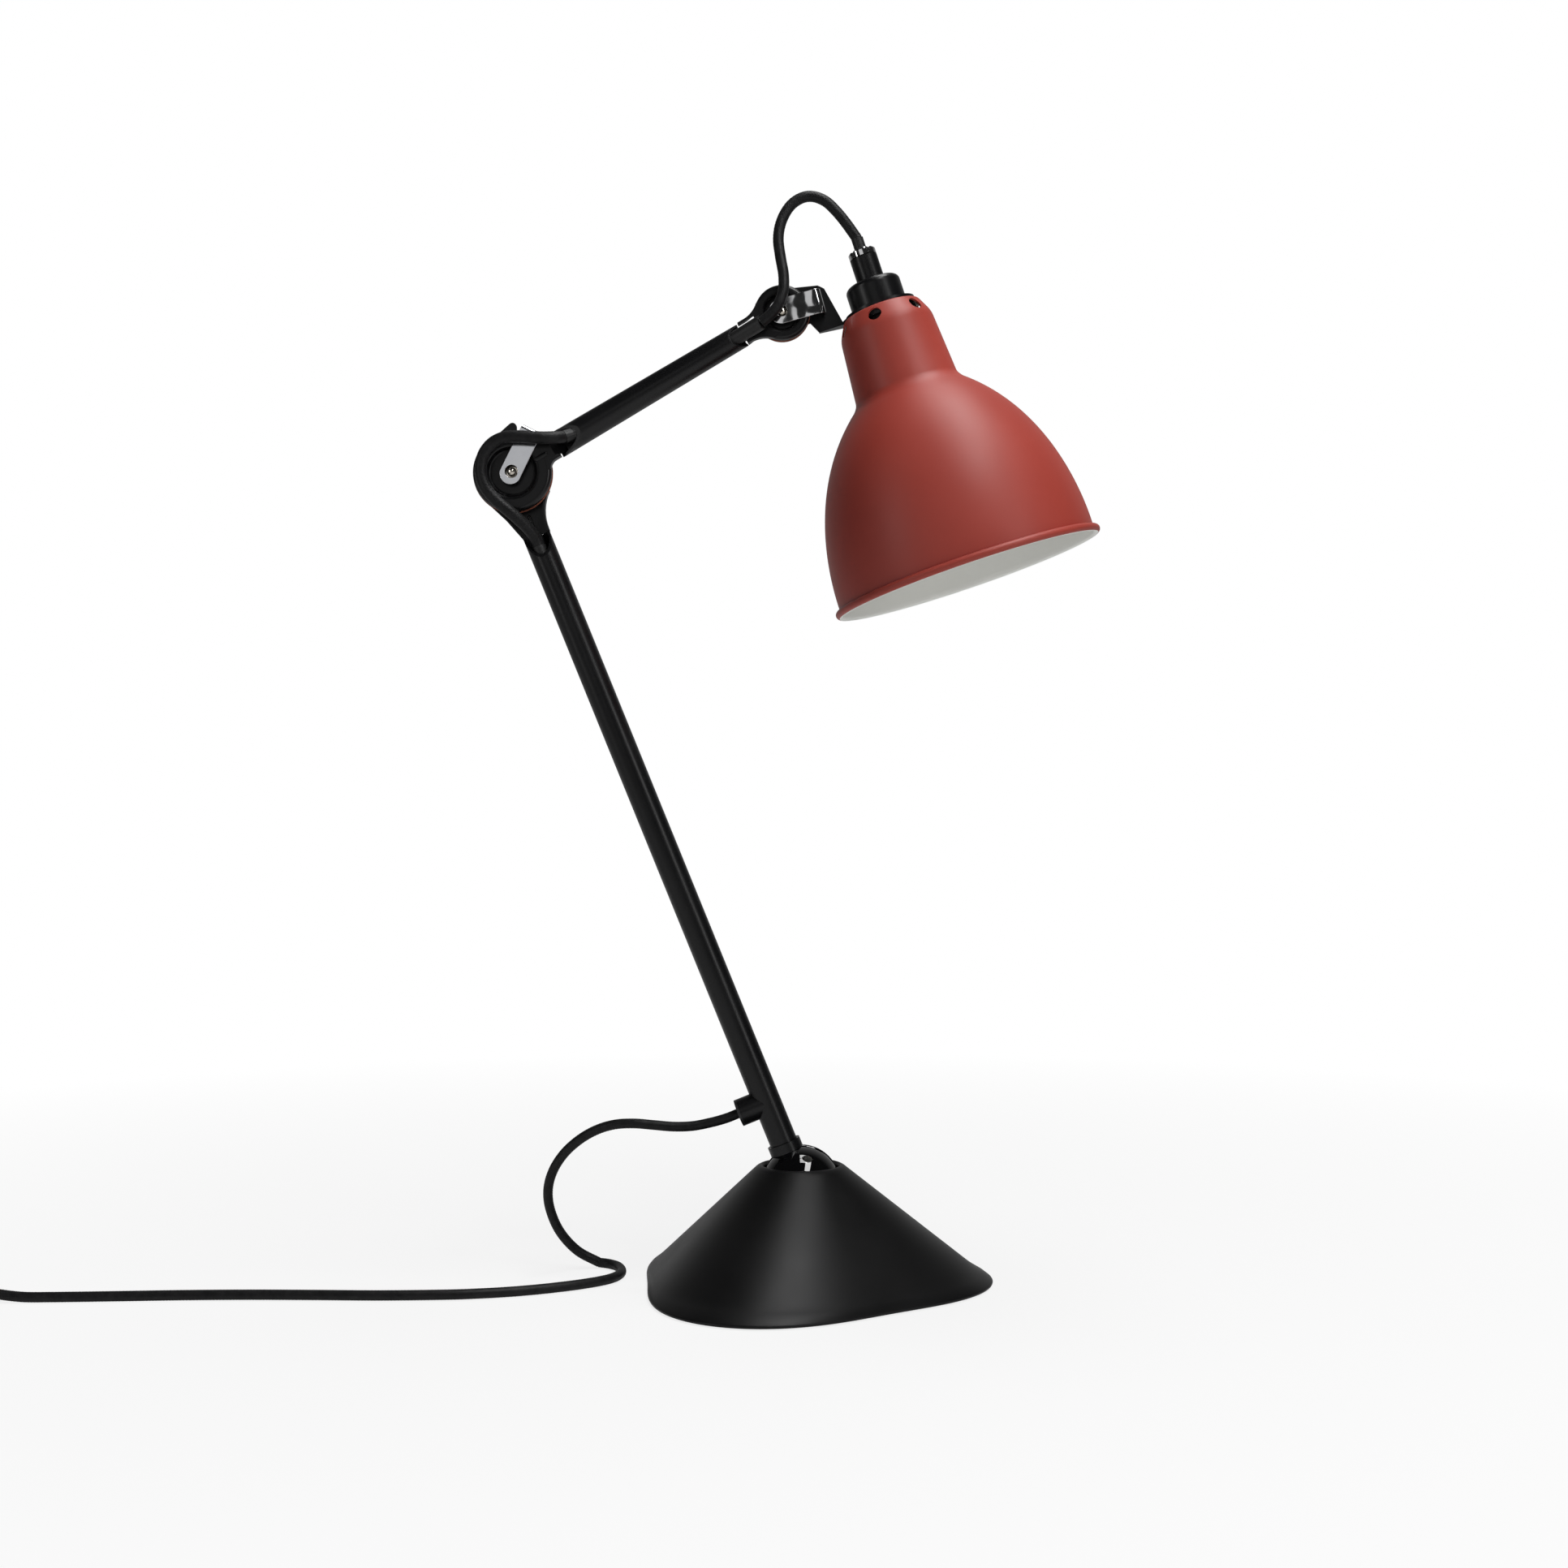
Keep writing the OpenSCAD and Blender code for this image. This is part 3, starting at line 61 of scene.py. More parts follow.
# %% Camera
camera = bpy.data.objects.new("camera", bpy.data.cameras.new("camera"))
bpy.context.scene.collection.objects.link(camera)
camera.location = (-0.00855, -0.9857, 0.2304)
camera.rotation_euler = (math.radians(90), 0, 0)
camera.data.sensor_width = 36
camera.data.lens = 45.1
camera.data.shift_y = 0.0259
bpy.context.scene.camera = camera
bpy.context.scene.view_settings.view_transform = "Standard"
print("camera, m:", [round(x, 3) for x in camera.location], "lens, mm:", round(camera.data.lens, 1))

# %% [markdown]
# ## A line for a cord
# The real cord leaves one arm, bends over the knuckle and goes into the next. The CAD gives a few points on
# its way. A curve object could join them, but its bevel has a plain skin. Here the line is worked out with
# a point at every small step, so that it can carry a braid and tell its own length.

# %% Smooth line
def smooth_line(points, step):
    """Points every step metres on a smooth curve through the given points."""
    p = np.array(points, float)
    p = np.vstack([2 * p[0] - p[1], p, 2 * p[-1] - p[-2]])
    t = np.linspace(0, 1, 12, endpoint=False)[:, None]
    pieces = []
    for i in range(1, len(p) - 2):
        a, b, c, d = p[i - 1 : i + 3]
        bend = (2 * a - 5 * b + 4 * c - d) * t**2 + (3 * b - a - 3 * c + d) * t**3
        pieces.append(0.5 * (2 * b + (c - a) * t + bend))
    line = np.vstack([*pieces, p[-2:-1]])
    run = np.concatenate([[0], np.cumsum(np.linalg.norm(np.diff(line, axis=0), axis=1))])
    at = np.linspace(0, run[-1], max(2, round(run[-1] / step) + 1))
    return np.column_stack([np.interp(at, run, line[:, k]) for k in range(3)])


def length_of(line):
    """The length along a line of points."""
    return float(np.linalg.norm(np.diff(line, axis=0), axis=1).sum())


def frames_along(line):
    """Two unit vectors square to the line at each point, carried along without twist."""
    tangent = np.gradient(line, axis=0)
    tangent /= np.linalg.norm(tangent, axis=1)[:, None]
    helper = [0.0, 1.0, 0.0] if abs(tangent[0][1]) < 0.9 else [0.0, 0.0, 1.0]
    side = np.cross(tangent[0], helper)
    sides = []
    for t in tangent:
        side = side - (side @ t) * t
        side /= np.linalg.norm(side)
        sides.append(side)
    sides = np.array(sides)
    return sides, np.cross(tangent, sides)


# %% [markdown]
# ## Where the cords run
# These are the CAD's own routes, in millimetres. The elbow's and the head's cords are traced from the
# photograph. The lead hangs from the arm's boss, touches the floor, passes in front of the base and goes
# off to the left. Beyond the picture it has its switch, and the rest is put away as a coil with the plug.

# %% Routes
ELBOW = [
    [-131.43, -1.5, 369.7], [-132.79, -2.61, 373.54], [-135.95, -5.03, 377.88], [-140.72, -7.64, 382.42],
    [-145.88, -9.05, 386.77], [-151.45, -9.06, 391.51], [-156.21, -9.07, 397.05], [-158.78, -9.09, 403.19],
    [-159.14, -9.1, 409.53], [-157.31, -9.11, 415.48], [-153.07, -9.53, 420.22], [-147.04, -10.14, 422.76],
    [-140.6, -10.55, 423.1], [-133.97, -10.56, 422.74], [-128.13, -10.07, 422.58], [-122.7, -8.19, 423.12],
    [-118.36, -4.9, 424.07],
]
HEAD = [
    [-19.9, -9.55, 479.97], [-17.4, -10.25, 481.77], [-14, -10.94, 484.87], [-11, -10.74, 489.27],
    [-8.89, -9.64, 495.97], [-8.79, -7.83, 504.17], [-10.39, -5.63, 513.97], [-11.39, -3.63, 523.58],
    [-9.89, -2.02, 532.38], [-5.79, -0.82, 540.18], [-0.18, -0.22, 544.58], [5.82, -0.01, 545.58],
    [12.22, -0.01, 543.18], [17.82, -0.01, 537.98], [22.82, 0, 531.88], [28.13, 0, 524.38],
]
DROP = [
    [-31.32, 0, 85.55], [-37.62, 0, 83.05], [-45.52, 0, 80.86], [-54.52, 0, 79.16], [-64.02, 0, 78.86],
    [-74.02, 0, 79.67], [-84.01, 0.5, 80.37], [-94.01, 2.5, 79.47], [-103.51, 5.5, 76.18],
    [-112.51, 9, 70.58], [-120.51, 12.5, 62.98], [-126.51, 16.5, 53.48], [-129.41, 20.5, 42.99],
    [-128.6, 24.5, 31.99], [-124, 28.5, 19.99], [-115.6, 32.5, 9.6], [-104.5, 35, 2.9],
]
FLOOR = [
    [-104.5, 35, 2.9], [-98.6, 32.6, 2.6], [-94.2, 27, 2.6], [-91.8, 19, 2.6], [-91.6, 10.5, 2.6],
    [-94.4, 2, 2.6], [-100.2, -5.2, 2.6], [-108.4, -11.6, 2.6], [-118, -17.4, 2.6], [-129, -22.8, 2.6],
    [-141, -27.4, 2.6], [-155, -31, 2.6], [-172, -33.7, 2.6], [-204, -35.2, 2.6], [-236, -34.3, 2.6],
    [-268, -33.8, 2.6], [-300, -34.7, 2.6], [-332, -36.9, 2.6], [-362, -38.6, 2.6], [-376, -39, 2.8],
    [-389, -39.2, 4.4], [-402, -39.2, 6.5],
]
LINK = [[-458, -39.2, 6.5], [-470, -39.2, 4.8], [-482, -39.2, 2.9], [-495, -39.2, 2.6]]
TAIL = [[-535.6, 3, 8.2], [-535.6, 12, 7.8], [-535.6, 21, 7]]
FLOOR_CORD_Z = 2.6  # the height of the lead's middle where it lies on the floor
print("route points, elbow, head, drop, floor:", [len(route) for route in (ELBOW, HEAD, DROP, FLOOR)])


# %% The coil's route
def coil_route():
    """Inwards on the floor, up a layer, and outwards on top of the first layer."""
    pitch, outer, halfway, turns = 5.6, 37, 3.25, 6.25
    middle_x, middle_y = -500, -2.2
    t = np.arange(0, 24 * turns + 1) / 24
    up = np.clip(t - 3, 0, 0.5) * 2
    r = outer - pitch * (halfway - np.abs(t - halfway))
    a = np.radians(-90 - 360 * t)
    z = FLOOR_CORD_Z + pitch * (1 - np.cos(np.pi * up)) / 2
    return np.column_stack([middle_x + r * np.cos(a), middle_y + r * np.sin(a), z])


STORE = np.vstack([LINK, coil_route()[1:], TAIL])
print("points on the coil's route:", len(STORE))

# %% [markdown]
# ## Pieces in the scene
# A finished piece has its place in its mesh, and its object stays at the origin. It rides on an empty named
# for the body that carries it, and it says which CAD nodes it stands for, so those are hidden.

# %% Put a mesh in its place
def put(name, mesh, body=None, stands_for=()):
    """An object for the mesh, on its body, in the place of the CAD nodes that it stands for."""
    obj = bpy.data.objects.new(name, mesh)
    bpy.context.scene.collection.objects.link(obj)
    if body:
        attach(obj, body)
    if stands_for:
        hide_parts(*stands_for)
    return obj


# %% [markdown]
# ## Braided jacket
# The real cord has a woven textile jacket: strands go round both ways and pass over and under each other.
# A bump map could suggest it, but the outline would stay as smooth as a hose. Here the tube's own radius
# follows the weave. Two families of helices are counted off along and around the tube. In every other
# field one family lies on top, and its ridge sets the height.

# %% Braid along a line
def tube_faces(rings, sides):
    """Quads between neighbouring rings of points, and a cap on each end."""
    faces = []
    for near in range(0, (rings - 1) * sides, sides):
        far = near + sides
        for j in range(sides):
            k = (j + 1) % sides
            faces.append((near + k, far + k, far + j, near + j))
    last = (rings - 1) * sides
    return [*faces, tuple(range(sides)), tuple(last + j for j in range(sides))[::-1]]


def braid(name, route_mm, diameter, pitch, depth, material, sides=48, step=0.0004, carriers=12):
    """A tube whose skin is a braid, with closed ends. Returns the piece and its centreline.

    Diameter, pitch (along the tube from one strand to the next), depth of the weave and step are in metres.
    Carriers is how many strands go round each way, and sides is how many points make a ring of the tube.
    """
    line = smooth_line(np.array(route_mm) / 1000, step)
    u, v = frames_along(line)
    run = np.arange(len(line)) * length_of(line) / (len(line) - 1)
    around = np.arange(sides) / sides
    p = carriers * around[None, :] + run[:, None] / pitch
    q = carriers * around[None, :] - run[:, None] / pitch
    p_on_top = (np.floor(p) + np.floor(q)) % 2 < 1
    ridge_p, ridge_q = np.sin(np.pi * (p % 1)) ** 0.8, np.sin(np.pi * (q % 1)) ** 0.8
    under = 0.3
    height_p, height_q = np.maximum(ridge_p, under * ridge_q), np.maximum(ridge_q, under * ridge_p)
    radius = diameter / 2 - depth * (1 - np.where(p_on_top, height_p, height_q))
    across = np.cos(2 * np.pi * around)[None, :, None] * u[:, None, :]
    upward = np.sin(2 * np.pi * around)[None, :, None] * v[:, None, :]
    points = line[:, None, :] + radius[:, :, None] * (across + upward)
    mesh = bpy.data.meshes.new(name)
    mesh.from_pydata(points.reshape(-1, 3).tolist(), [], tube_faces(len(line), sides))
    mesh.materials.append(material)
    mesh.polygons.foreach_set("use_smooth", [True] * len(mesh.polygons))
    return put(name, mesh), line


# %% [markdown]
# ## Materials
# Four shared effects make the surfaces, each a node group. It takes a low and a high roughness and gives a
# roughness, a height for the bump and a tone that varies the colour. All patterns read Object coordinates,
# so they stay at the real scale on every piece. The helpers below add one node each.

# %% Small node helpers
def wire(tree, value, socket):
    """Feeds a socket from another socket, or sets it to a number."""
    if isinstance(value, bpy.types.NodeSocket):
        tree.links.new(value, socket)
    else:
        socket.default_value = value


def noise(tree, vector, scale, detail=3.0, rough=0.5):
    """Cloudy noise with so many blobs to the metre."""
    node = tree.nodes.new("ShaderNodeTexNoise")
    node.inputs["Scale"].default_value = scale
    node.inputs["Detail"].default_value = detail
    node.inputs["Roughness"].default_value = rough
    wire(tree, vector, node.inputs["Vector"])
    return node.outputs["Fac"]


def spread(tree, value, low, high, to_low=0.0, to_high=1.0):
    """The value stretched from low..high to to_low..to_high, which may be sockets."""
    node = tree.nodes.new("ShaderNodeMapRange")
    ends = {"Value": value, "From Min": low, "From Max": high, "To Min": to_low, "To Max": to_high}
    for label, x in ends.items():
        wire(tree, x, node.inputs[label])
    return node.outputs["Result"]


def new_effect(name):
    """An empty node group with the shared sockets. Returns its tree, inputs, outputs and coordinates."""
    tree = bpy.data.node_groups.new(name, "ShaderNodeTree")
    for label in ("Low", "High"):
        tree.interface.new_socket(label, in_out="INPUT", socket_type="NodeSocketFloat")
    for label in ("Roughness", "Height", "Tone"):
        tree.interface.new_socket(label, in_out="OUTPUT", socket_type="NodeSocketFloat")
    given, out = tree.nodes.new("NodeGroupInput"), tree.nodes.new("NodeGroupOutput")
    place = tree.nodes.new("ShaderNodeTexCoord").outputs["Object"]
    return tree, given.outputs, out.inputs, place


# %% [markdown]
# ### Sprayed enamel
# The arms, the shade and the base are sprayed. Such paint has an even fine skin, and handling leaves broad
# soft changes in its gloss. So one fine noise is the height, and one broad noise moves roughness and tone.

# %% Enamel skin
def skin_effect():
    tree, given, out, place = new_effect("enamel_skin")
    skin = noise(tree, place, 900, 2.0)
    broad = noise(tree, place, 22, 4.0, 0.6)
    wire(tree, spread(tree, broad, 0.3, 0.7, given["Low"], given["High"]), out["Roughness"])
    wire(tree, skin, out["Height"])
    wire(tree, spread(tree, broad, 0.25, 0.75), out["Tone"])
    return tree


# %% [markdown]
# ### Drawn and polished metal
# Rolled strip and turned pins keep fine lines along one way, so their noise is squeezed across that way by
# a Mapping node. Polished chrome has no lines, but pressing leaves the sheet a little uneven, and what it
# mirrors bends. A slow wave in the height does that. Both carry smudges in their roughness.

# %% Metal
def drawn_effect():
    tree, given, out, place = new_effect("drawn_metal")
    squeeze = tree.nodes.new("ShaderNodeMapping")
    squeeze.inputs["Scale"].default_value = (300, 2600, 2600)
    wire(tree, place, squeeze.inputs["Vector"])
    lines = noise(tree, squeeze.outputs["Vector"], 1.0, 2.0)
    smudge = noise(tree, place, 130, 4.0, 0.6)
    wire(tree, spread(tree, smudge, 0.35, 0.7, given["Low"], given["High"]), out["Roughness"])
    wire(tree, lines, out["Height"])
    wire(tree, spread(tree, smudge, 0.3, 0.7), out["Tone"])
    return tree


def pressed_effect():
    tree, given, out, place = new_effect("polished_sheet")
    wave = noise(tree, place, 75, 1.0)
    smudge = noise(tree, place, 210, 3.0, 0.6)
    wire(tree, spread(tree, smudge, 0.35, 0.7, given["Low"], given["High"]), out["Roughness"])
    wire(tree, wave, out["Height"])
    wire(tree, spread(tree, smudge, 0.3, 0.7), out["Tone"])
    return tree


# %% [markdown]
# ### Moulded, rubbery and fibrous
# Moulded plastic copies the fine pits of its mould, and rubber, fibre washers and yarn are grainy at about
# the same scale. One fine grain gives them both height and roughness, and a broader noise gives the tone.

# %% Speckle
def speckle_effect():
    tree, given, out, place = new_effect("speckle")
    grain = noise(tree, place, 2400, 3.0, 0.7)
    broad = noise(tree, place, 260, 3.0)
    wire(tree, spread(tree, grain, 0.3, 0.7, given["Low"], given["High"]), out["Roughness"])
    wire(tree, grain, out["Height"])
    wire(tree, spread(tree, broad, 0.3, 0.7), out["Tone"])
    return tree


SKIN, DRAWN, PRESSED, SPECKLE = skin_effect(), drawn_effect(), pressed_effect(), speckle_effect()
print("effects:", [tree.name for tree in (SKIN, DRAWN, PRESSED, SPECKLE)])


# %% [markdown]
# ### From effect to material
# A material is a Principled shader with one effect. Its colour lies between a dark and a light tone, its
# roughness between two values, and the bump's depth is in metres, as the real relief is. What is the same
# all over, such as Metallic, is set on the shader itself.

# %% Material maker
def finish_of(name, dark, light, effect, rough, bump, depth=0.0002, **constants):
    """A material between a dark and a light colour, with the effect's roughness and bump."""
    mat = bpy.data.materials.new(name)
    mat.use_nodes = True
    tree = mat.node_tree
    shader = tree.nodes["Principled BSDF"]
    for label, value in constants.items():
        shader.inputs[label.replace("_", " ")].default_value = value
    made = tree.nodes.new("ShaderNodeGroup")
    made.node_tree = effect
    made.inputs["Low"].default_value, made.inputs["High"].default_value = rough
    colour = tree.nodes.new("ShaderNodeMix")
    colour.data_type = "RGBA"
    wire(tree, made.outputs["Tone"], colour.inputs["Factor"])
    wire(tree, (*dark, 1), colour.inputs["A"])
    wire(tree, (*light, 1), colour.inputs["B"])
    lift = tree.nodes.new("ShaderNodeBump")
    wire(tree, bump, lift.inputs["Strength"])
    wire(tree, depth, lift.inputs["Distance"])
    wire(tree, made.outputs["Height"], lift.inputs["Height"])
    wire(tree, colour.outputs["Result"], shader.inputs["Base Color"])
    wire(tree, made.outputs["Roughness"], shader.inputs["Roughness"])
    wire(tree, lift.outputs["Normal"], shader.inputs["Normal"])
    return mat


# %% [markdown]
# ### Paints
# The arms are satin black, the cast base is a little more matt, and the ball is polished to a mirror. The
# shade is matt red outside and off-white inside, where it throws the bulb's light down.

# %% Paints
satin_black = finish_of("satin_black", (0.0035, 0.0035, 0.004), (0.006, 0.006, 0.0065), SKIN,
    (0.27, 0.34), 0.012, Specular_IOR_Level=0.28)
base_black = finish_of("base_black", (0.0030, 0.0030, 0.0033), (0.0050, 0.0049, 0.0052), SKIN,
    (0.38, 0.45), 0.02, Specular_IOR_Level=0.22)
gloss_black = finish_of("gloss_black", (0.002, 0.002, 0.0025), (0.003, 0.003, 0.003), SKIN,
    (0.03, 0.05), 0.004, Coat_Weight=0.5)
red_enamel = finish_of("red_enamel", (0.345, 0.046, 0.032), (0.375, 0.052, 0.036), SKIN,
    (0.42, 0.50), 0.02, Specular_IOR_Level=0.36)
white_enamel = finish_of("white_enamel", (0.87, 0.87, 0.83), (0.91, 0.91, 0.87), SKIN, (0.42, 0.5), 0.03)
print("paints:", [m.name for m in (satin_black, base_black, gloss_black, red_enamel, white_enamel)])

# %% [markdown]
# ### Metals
# The head's strip, the cord nut and the plug's pins are chromed. The elbow's strip is drawn steel, and the
# turned pins are nickelled. Hidden screws, nuts and springs are plain zinc or steel, and the plate is iron.

# %% Metals
chrome = finish_of("chrome", (0.72, 0.72, 0.73), (0.80, 0.80, 0.81), PRESSED,
    (0.04, 0.09), 0.6, 0.0012, Metallic=1.0)
drawn_steel = finish_of("drawn_steel", (0.64, 0.65, 0.68), (0.72, 0.73, 0.76), DRAWN,
    (0.14, 0.2), 0.06, 0.00005, Metallic=1.0)
nickel = finish_of("nickel", (0.50, 0.46, 0.40), (0.62, 0.58, 0.52), DRAWN,
    (0.12, 0.2), 0.01, 0.00002, Metallic=1.0)
zinc = finish_of("zinc", (0.40, 0.40, 0.40), (0.52, 0.52, 0.51), SPECKLE,
    (0.3, 0.45), 0.1, 0.00005, Metallic=1.0)
brass = finish_of("brass", (0.50, 0.34, 0.13), (0.62, 0.44, 0.18), DRAWN,
    (0.18, 0.3), 0.05, 0.00005, Metallic=1.0)
cast_iron = finish_of("cast_iron", (0.05, 0.05, 0.052), (0.09, 0.088, 0.085), SPECKLE,
    (0.55, 0.75), 0.5, 0.0002, Metallic=0.6)
print("metals:", [m.name for m in (chrome, drawn_steel, nickel, zinc, brass, cast_iron)])

# %% [markdown]
# ### Fibre, rubber, plastic, yarn and glass
# The red-brown line at each knuckle is a fibre washer. The sleeves on the cord's ends are shrink tube, a
# little lighter and smoother than the yarn. The bulb is opal glass, so it is opaque with a thin coat.

# %% Fibre to glass
fibre = finish_of("fibre", (0.23, 0.065, 0.035), (0.32, 0.10, 0.055), SPECKLE, (0.7, 0.85), 0.3)
rubber = finish_of("rubber", (0.010, 0.010, 0.010), (0.018, 0.018, 0.018), SPECKLE, (0.7, 0.9), 0.4)
plastic = finish_of("plastic", (0.009, 0.009, 0.010), (0.014, 0.014, 0.015), SPECKLE,
    (0.36, 0.46), 0.25, 0.00008)
sleeve = finish_of("sleeve", (0.009, 0.009, 0.009), (0.014, 0.014, 0.0145), SPECKLE,
    (0.42, 0.52), 0.1, 0.00008, Specular_IOR_Level=0.35)
yarn = finish_of("yarn", (0.002, 0.002, 0.0025), (0.010, 0.010, 0.0105), SPECKLE,
    (0.38, 0.55), 0.3, 0.0001, Specular_IOR_Level=0.22, Sheen_Weight=0.02)
nylon = finish_of("nylon", (0.70, 0.67, 0.58), (0.76, 0.73, 0.64), SPECKLE, (0.35, 0.5), 0.15, 0.00008)
opal = finish_of("opal", (0.86, 0.85, 0.82), (0.90, 0.89, 0.86), SKIN, (0.12, 0.2), 0.02, Coat_Weight=0.3)
print("the rest:", [m.name for m in (fibre, rubber, plastic, sleeve, yarn, nylon, opal)])

# %% [markdown]
# ## The CAD pieces get their finish
# On the real lamp every part has one finish, so every CAD node gets one material. They could be picked by
# hand in the interface, but a list by material shows at a glance which parts are alike, and what is missing.

# %% Materials on the CAD nodes
DRESS = {
    satin_black: "arm_tongue arm_collar lower_tube cord_boss elbow_rear_disc upper_tube elbow_front_disc "
    "head_front_disc head_bracket holder_cap",
    base_black: "base_shell",
    gloss_black: "ball_front ball_rear",
    chrome: "head_stirrup cord_nut plug_pins",
    drawn_steel: "elbow_stirrup seat_springs",
    nickel: "elbow_pin head_pin bulb_cap",
    zinc: "ballast_screws bridge_screws ball_bolt ball_nut elbow_nut head_nut seat_bridge",
    brass: "holder_thread holder_contact",
    cast_iron: "ballast_plate",
    fibre: "ball_washers elbow_washer head_washer",
    rubber: "floor_pad",
    plastic: "boss_bush lamp_holder holder_ring switch_housing switch_rocker plug_relief plug_body",
    sleeve: "lower_sleeve upper_sleeve head_sleeve cap_sleeve",
    yarn: "elbow_cord head_cord mains_cord_drop mains_cord_floor mains_cord_link cord_coil mains_cord_tail",
    nylon: "seat_cup",
    opal: "bulb_globe",
    red_enamel: "shade",
}
for material, names in DRESS.items():
    for name in names.split():
        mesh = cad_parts[name].data
        mesh.materials.clear()
        mesh.materials.append(material)
undressed = sorted(set(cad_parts) - set(" ".join(DRESS.values()).split()))
print("CAD nodes without a material:", undressed)

# %% [markdown]
# ## Eased edges
# Bent strip and moulded plastic have no knife edges: each edge is a small round that catches a line of light.
# A Bevel modifier on the CAD mesh would also bevel the seams between its loose triangles. So a copy is
# merged, its flat faces are joined, and only its sharp edges are bevelled. Weighted normals keep the flats
# flat beside the bevels.

# %% From bmesh to mesh
def mesh_of(bm, name, materials, crease):
    """The bmesh as a mesh with its materials, shaded smooth but for edges over crease degrees."""
    for face in bm.faces:
        face.smooth = True
    mesh = bpy.data.meshes.new(name)
    bm.to_mesh(mesh)
    bm.free()
    for material in materials:
        mesh.materials.append(material)
    mesh.set_sharp_from_angle(angle=math.radians(crease))
    return mesh


# %% Eased copies
def eased_copy(node, body, width, material):
    """A copy of a CAD piece with its sharp edges bevelled by width metres."""
    bm = bmesh.new()
    bm.from_mesh(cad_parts[node].data)
    bmesh.ops.remove_doubles(bm, verts=bm.verts, dist=1e-6)
    bmesh.ops.dissolve_limit(bm, angle_limit=math.radians(1), verts=bm.verts, edges=bm.edges)
    sharp = [e for e in bm.edges if e.is_manifold and e.calc_face_angle() > math.radians(35)]
    bmesh.ops.bevel(bm, geom=sharp, offset=width, segments=3, profile=0.5, affect="EDGES",
        clamp_overlap=True, material=-1)
    name = node + "_eased"
    piece = put(name, mesh_of(bm, name, [material], 40), body, [node])
    piece.modifiers.new("flat_faces", "WEIGHTED_NORMAL").keep_sharp = True
    return piece


EASED = [  # CAD node, body, width of the bevel in metres, material
    ("elbow_stirrup", "upper_arm", 0.00025, drawn_steel),
    ("head_stirrup", "head", 0.0003, chrome),
    ("plug_body", "base", 0.0009, plastic),
    ("switch_housing", "base", 0.0007, plastic),
    ("switch_rocker", "rocker", 0.0004, plastic),
]
eased_pieces = {row[0]: eased_copy(*row) for row in EASED}
print("eased:", {node: len(piece.data.polygons) for node, piece in eased_pieces.items()})

# %% [markdown]
# ## The cords in place
# A real cord bends when a joint moves. A cord that rode on one body would tear off the other, and drivers or
# hooks don't travel with the part. Here the bending cords are fixed in place as they lie at rest, on no body.
# The coil lies still and only rides on the base.

# %% Make the cords
elbow_cord, elbow_line = braid("elbow_flex", ELBOW, 0.0062, 0.0019, 0.00022, yarn)
head_cord, head_line = braid("head_flex", HEAD, 0.0055, 0.0017, 0.0002, yarn)
drop_cord, drop_line = braid("lead_drop", DROP, 0.005, 0.0016, 0.0002, yarn)
floor_cord, floor_line = braid("lead_floor", FLOOR, 0.005, 0.0016, 0.0002, yarn, step=0.0005)
store_cord, store_line = braid("lead_coil", STORE, 0.005, 0.0024, 0.0002, yarn,
    sides=24, step=0.0009, carriers=8)
for piece, nodes in (
    (elbow_cord, ["elbow_cord"]),
    (head_cord, ["head_cord"]),
    (drop_cord, ["mains_cord_drop"]),
    (floor_cord, ["mains_cord_floor"]),
    (store_cord, ["mains_cord_link", "cord_coil", "mains_cord_tail"]),
):
    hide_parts(*nodes)
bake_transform(elbow_cord)
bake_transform(head_cord)
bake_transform(drop_cord)
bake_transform(floor_cord)
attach(store_cord, "base")

# %% [markdown]
# ### The cords stay plain meshes
# A cord is the one part here that isn't rigid, and a mesh alone doesn't say so. No soft part is declared for
# the cords here.

# %% [markdown]
# ## Profiles turned about an axis
# The shade is spun and the ball is turned, so both start as half a section. A Screw modifier could sweep it,
# but its seam would have to be merged later. Bmesh's spin takes it round the axis and closes the last step
# onto the first. Corners of the section are first rounded off by a short curve, as a tool's tip leaves them.

# %% Lines of a section
def eased(points, radii, n=5):
    """The same line with the corners listed in radii rounded off by that much."""
    out = []
    for i, p in enumerate(points):
        p = np.array(p, float)
        if not radii.get(i):
            out.append(p)
            continue
        before = np.array(points[i - 1], float) - p
        after = np.array(points[(i + 1) % len(points)], float) - p
        reach = [(d, np.linalg.norm(d)) for d in (before, after)]
        a, b = (p + d / far * min(radii[i], 0.45 * far) for d, far in reach)
        out += [(1 - t) ** 2 * a + 2 * t * (1 - t) * p + t**2 * b for t in np.linspace(0, 1, n)]
    return out


def bezier(a, b, c, d, n):
    """N points on the curve from a to d that b and c pull at."""
    a, b, c, d = (np.array(p, float) for p in (a, b, c, d))
    steps = np.linspace(0, 1, n)
    return [(1 - t) ** 3 * a + 3 * (1 - t) ** 2 * t * b + 3 * (1 - t) * t**2 * c + t**3 * d for t in steps]


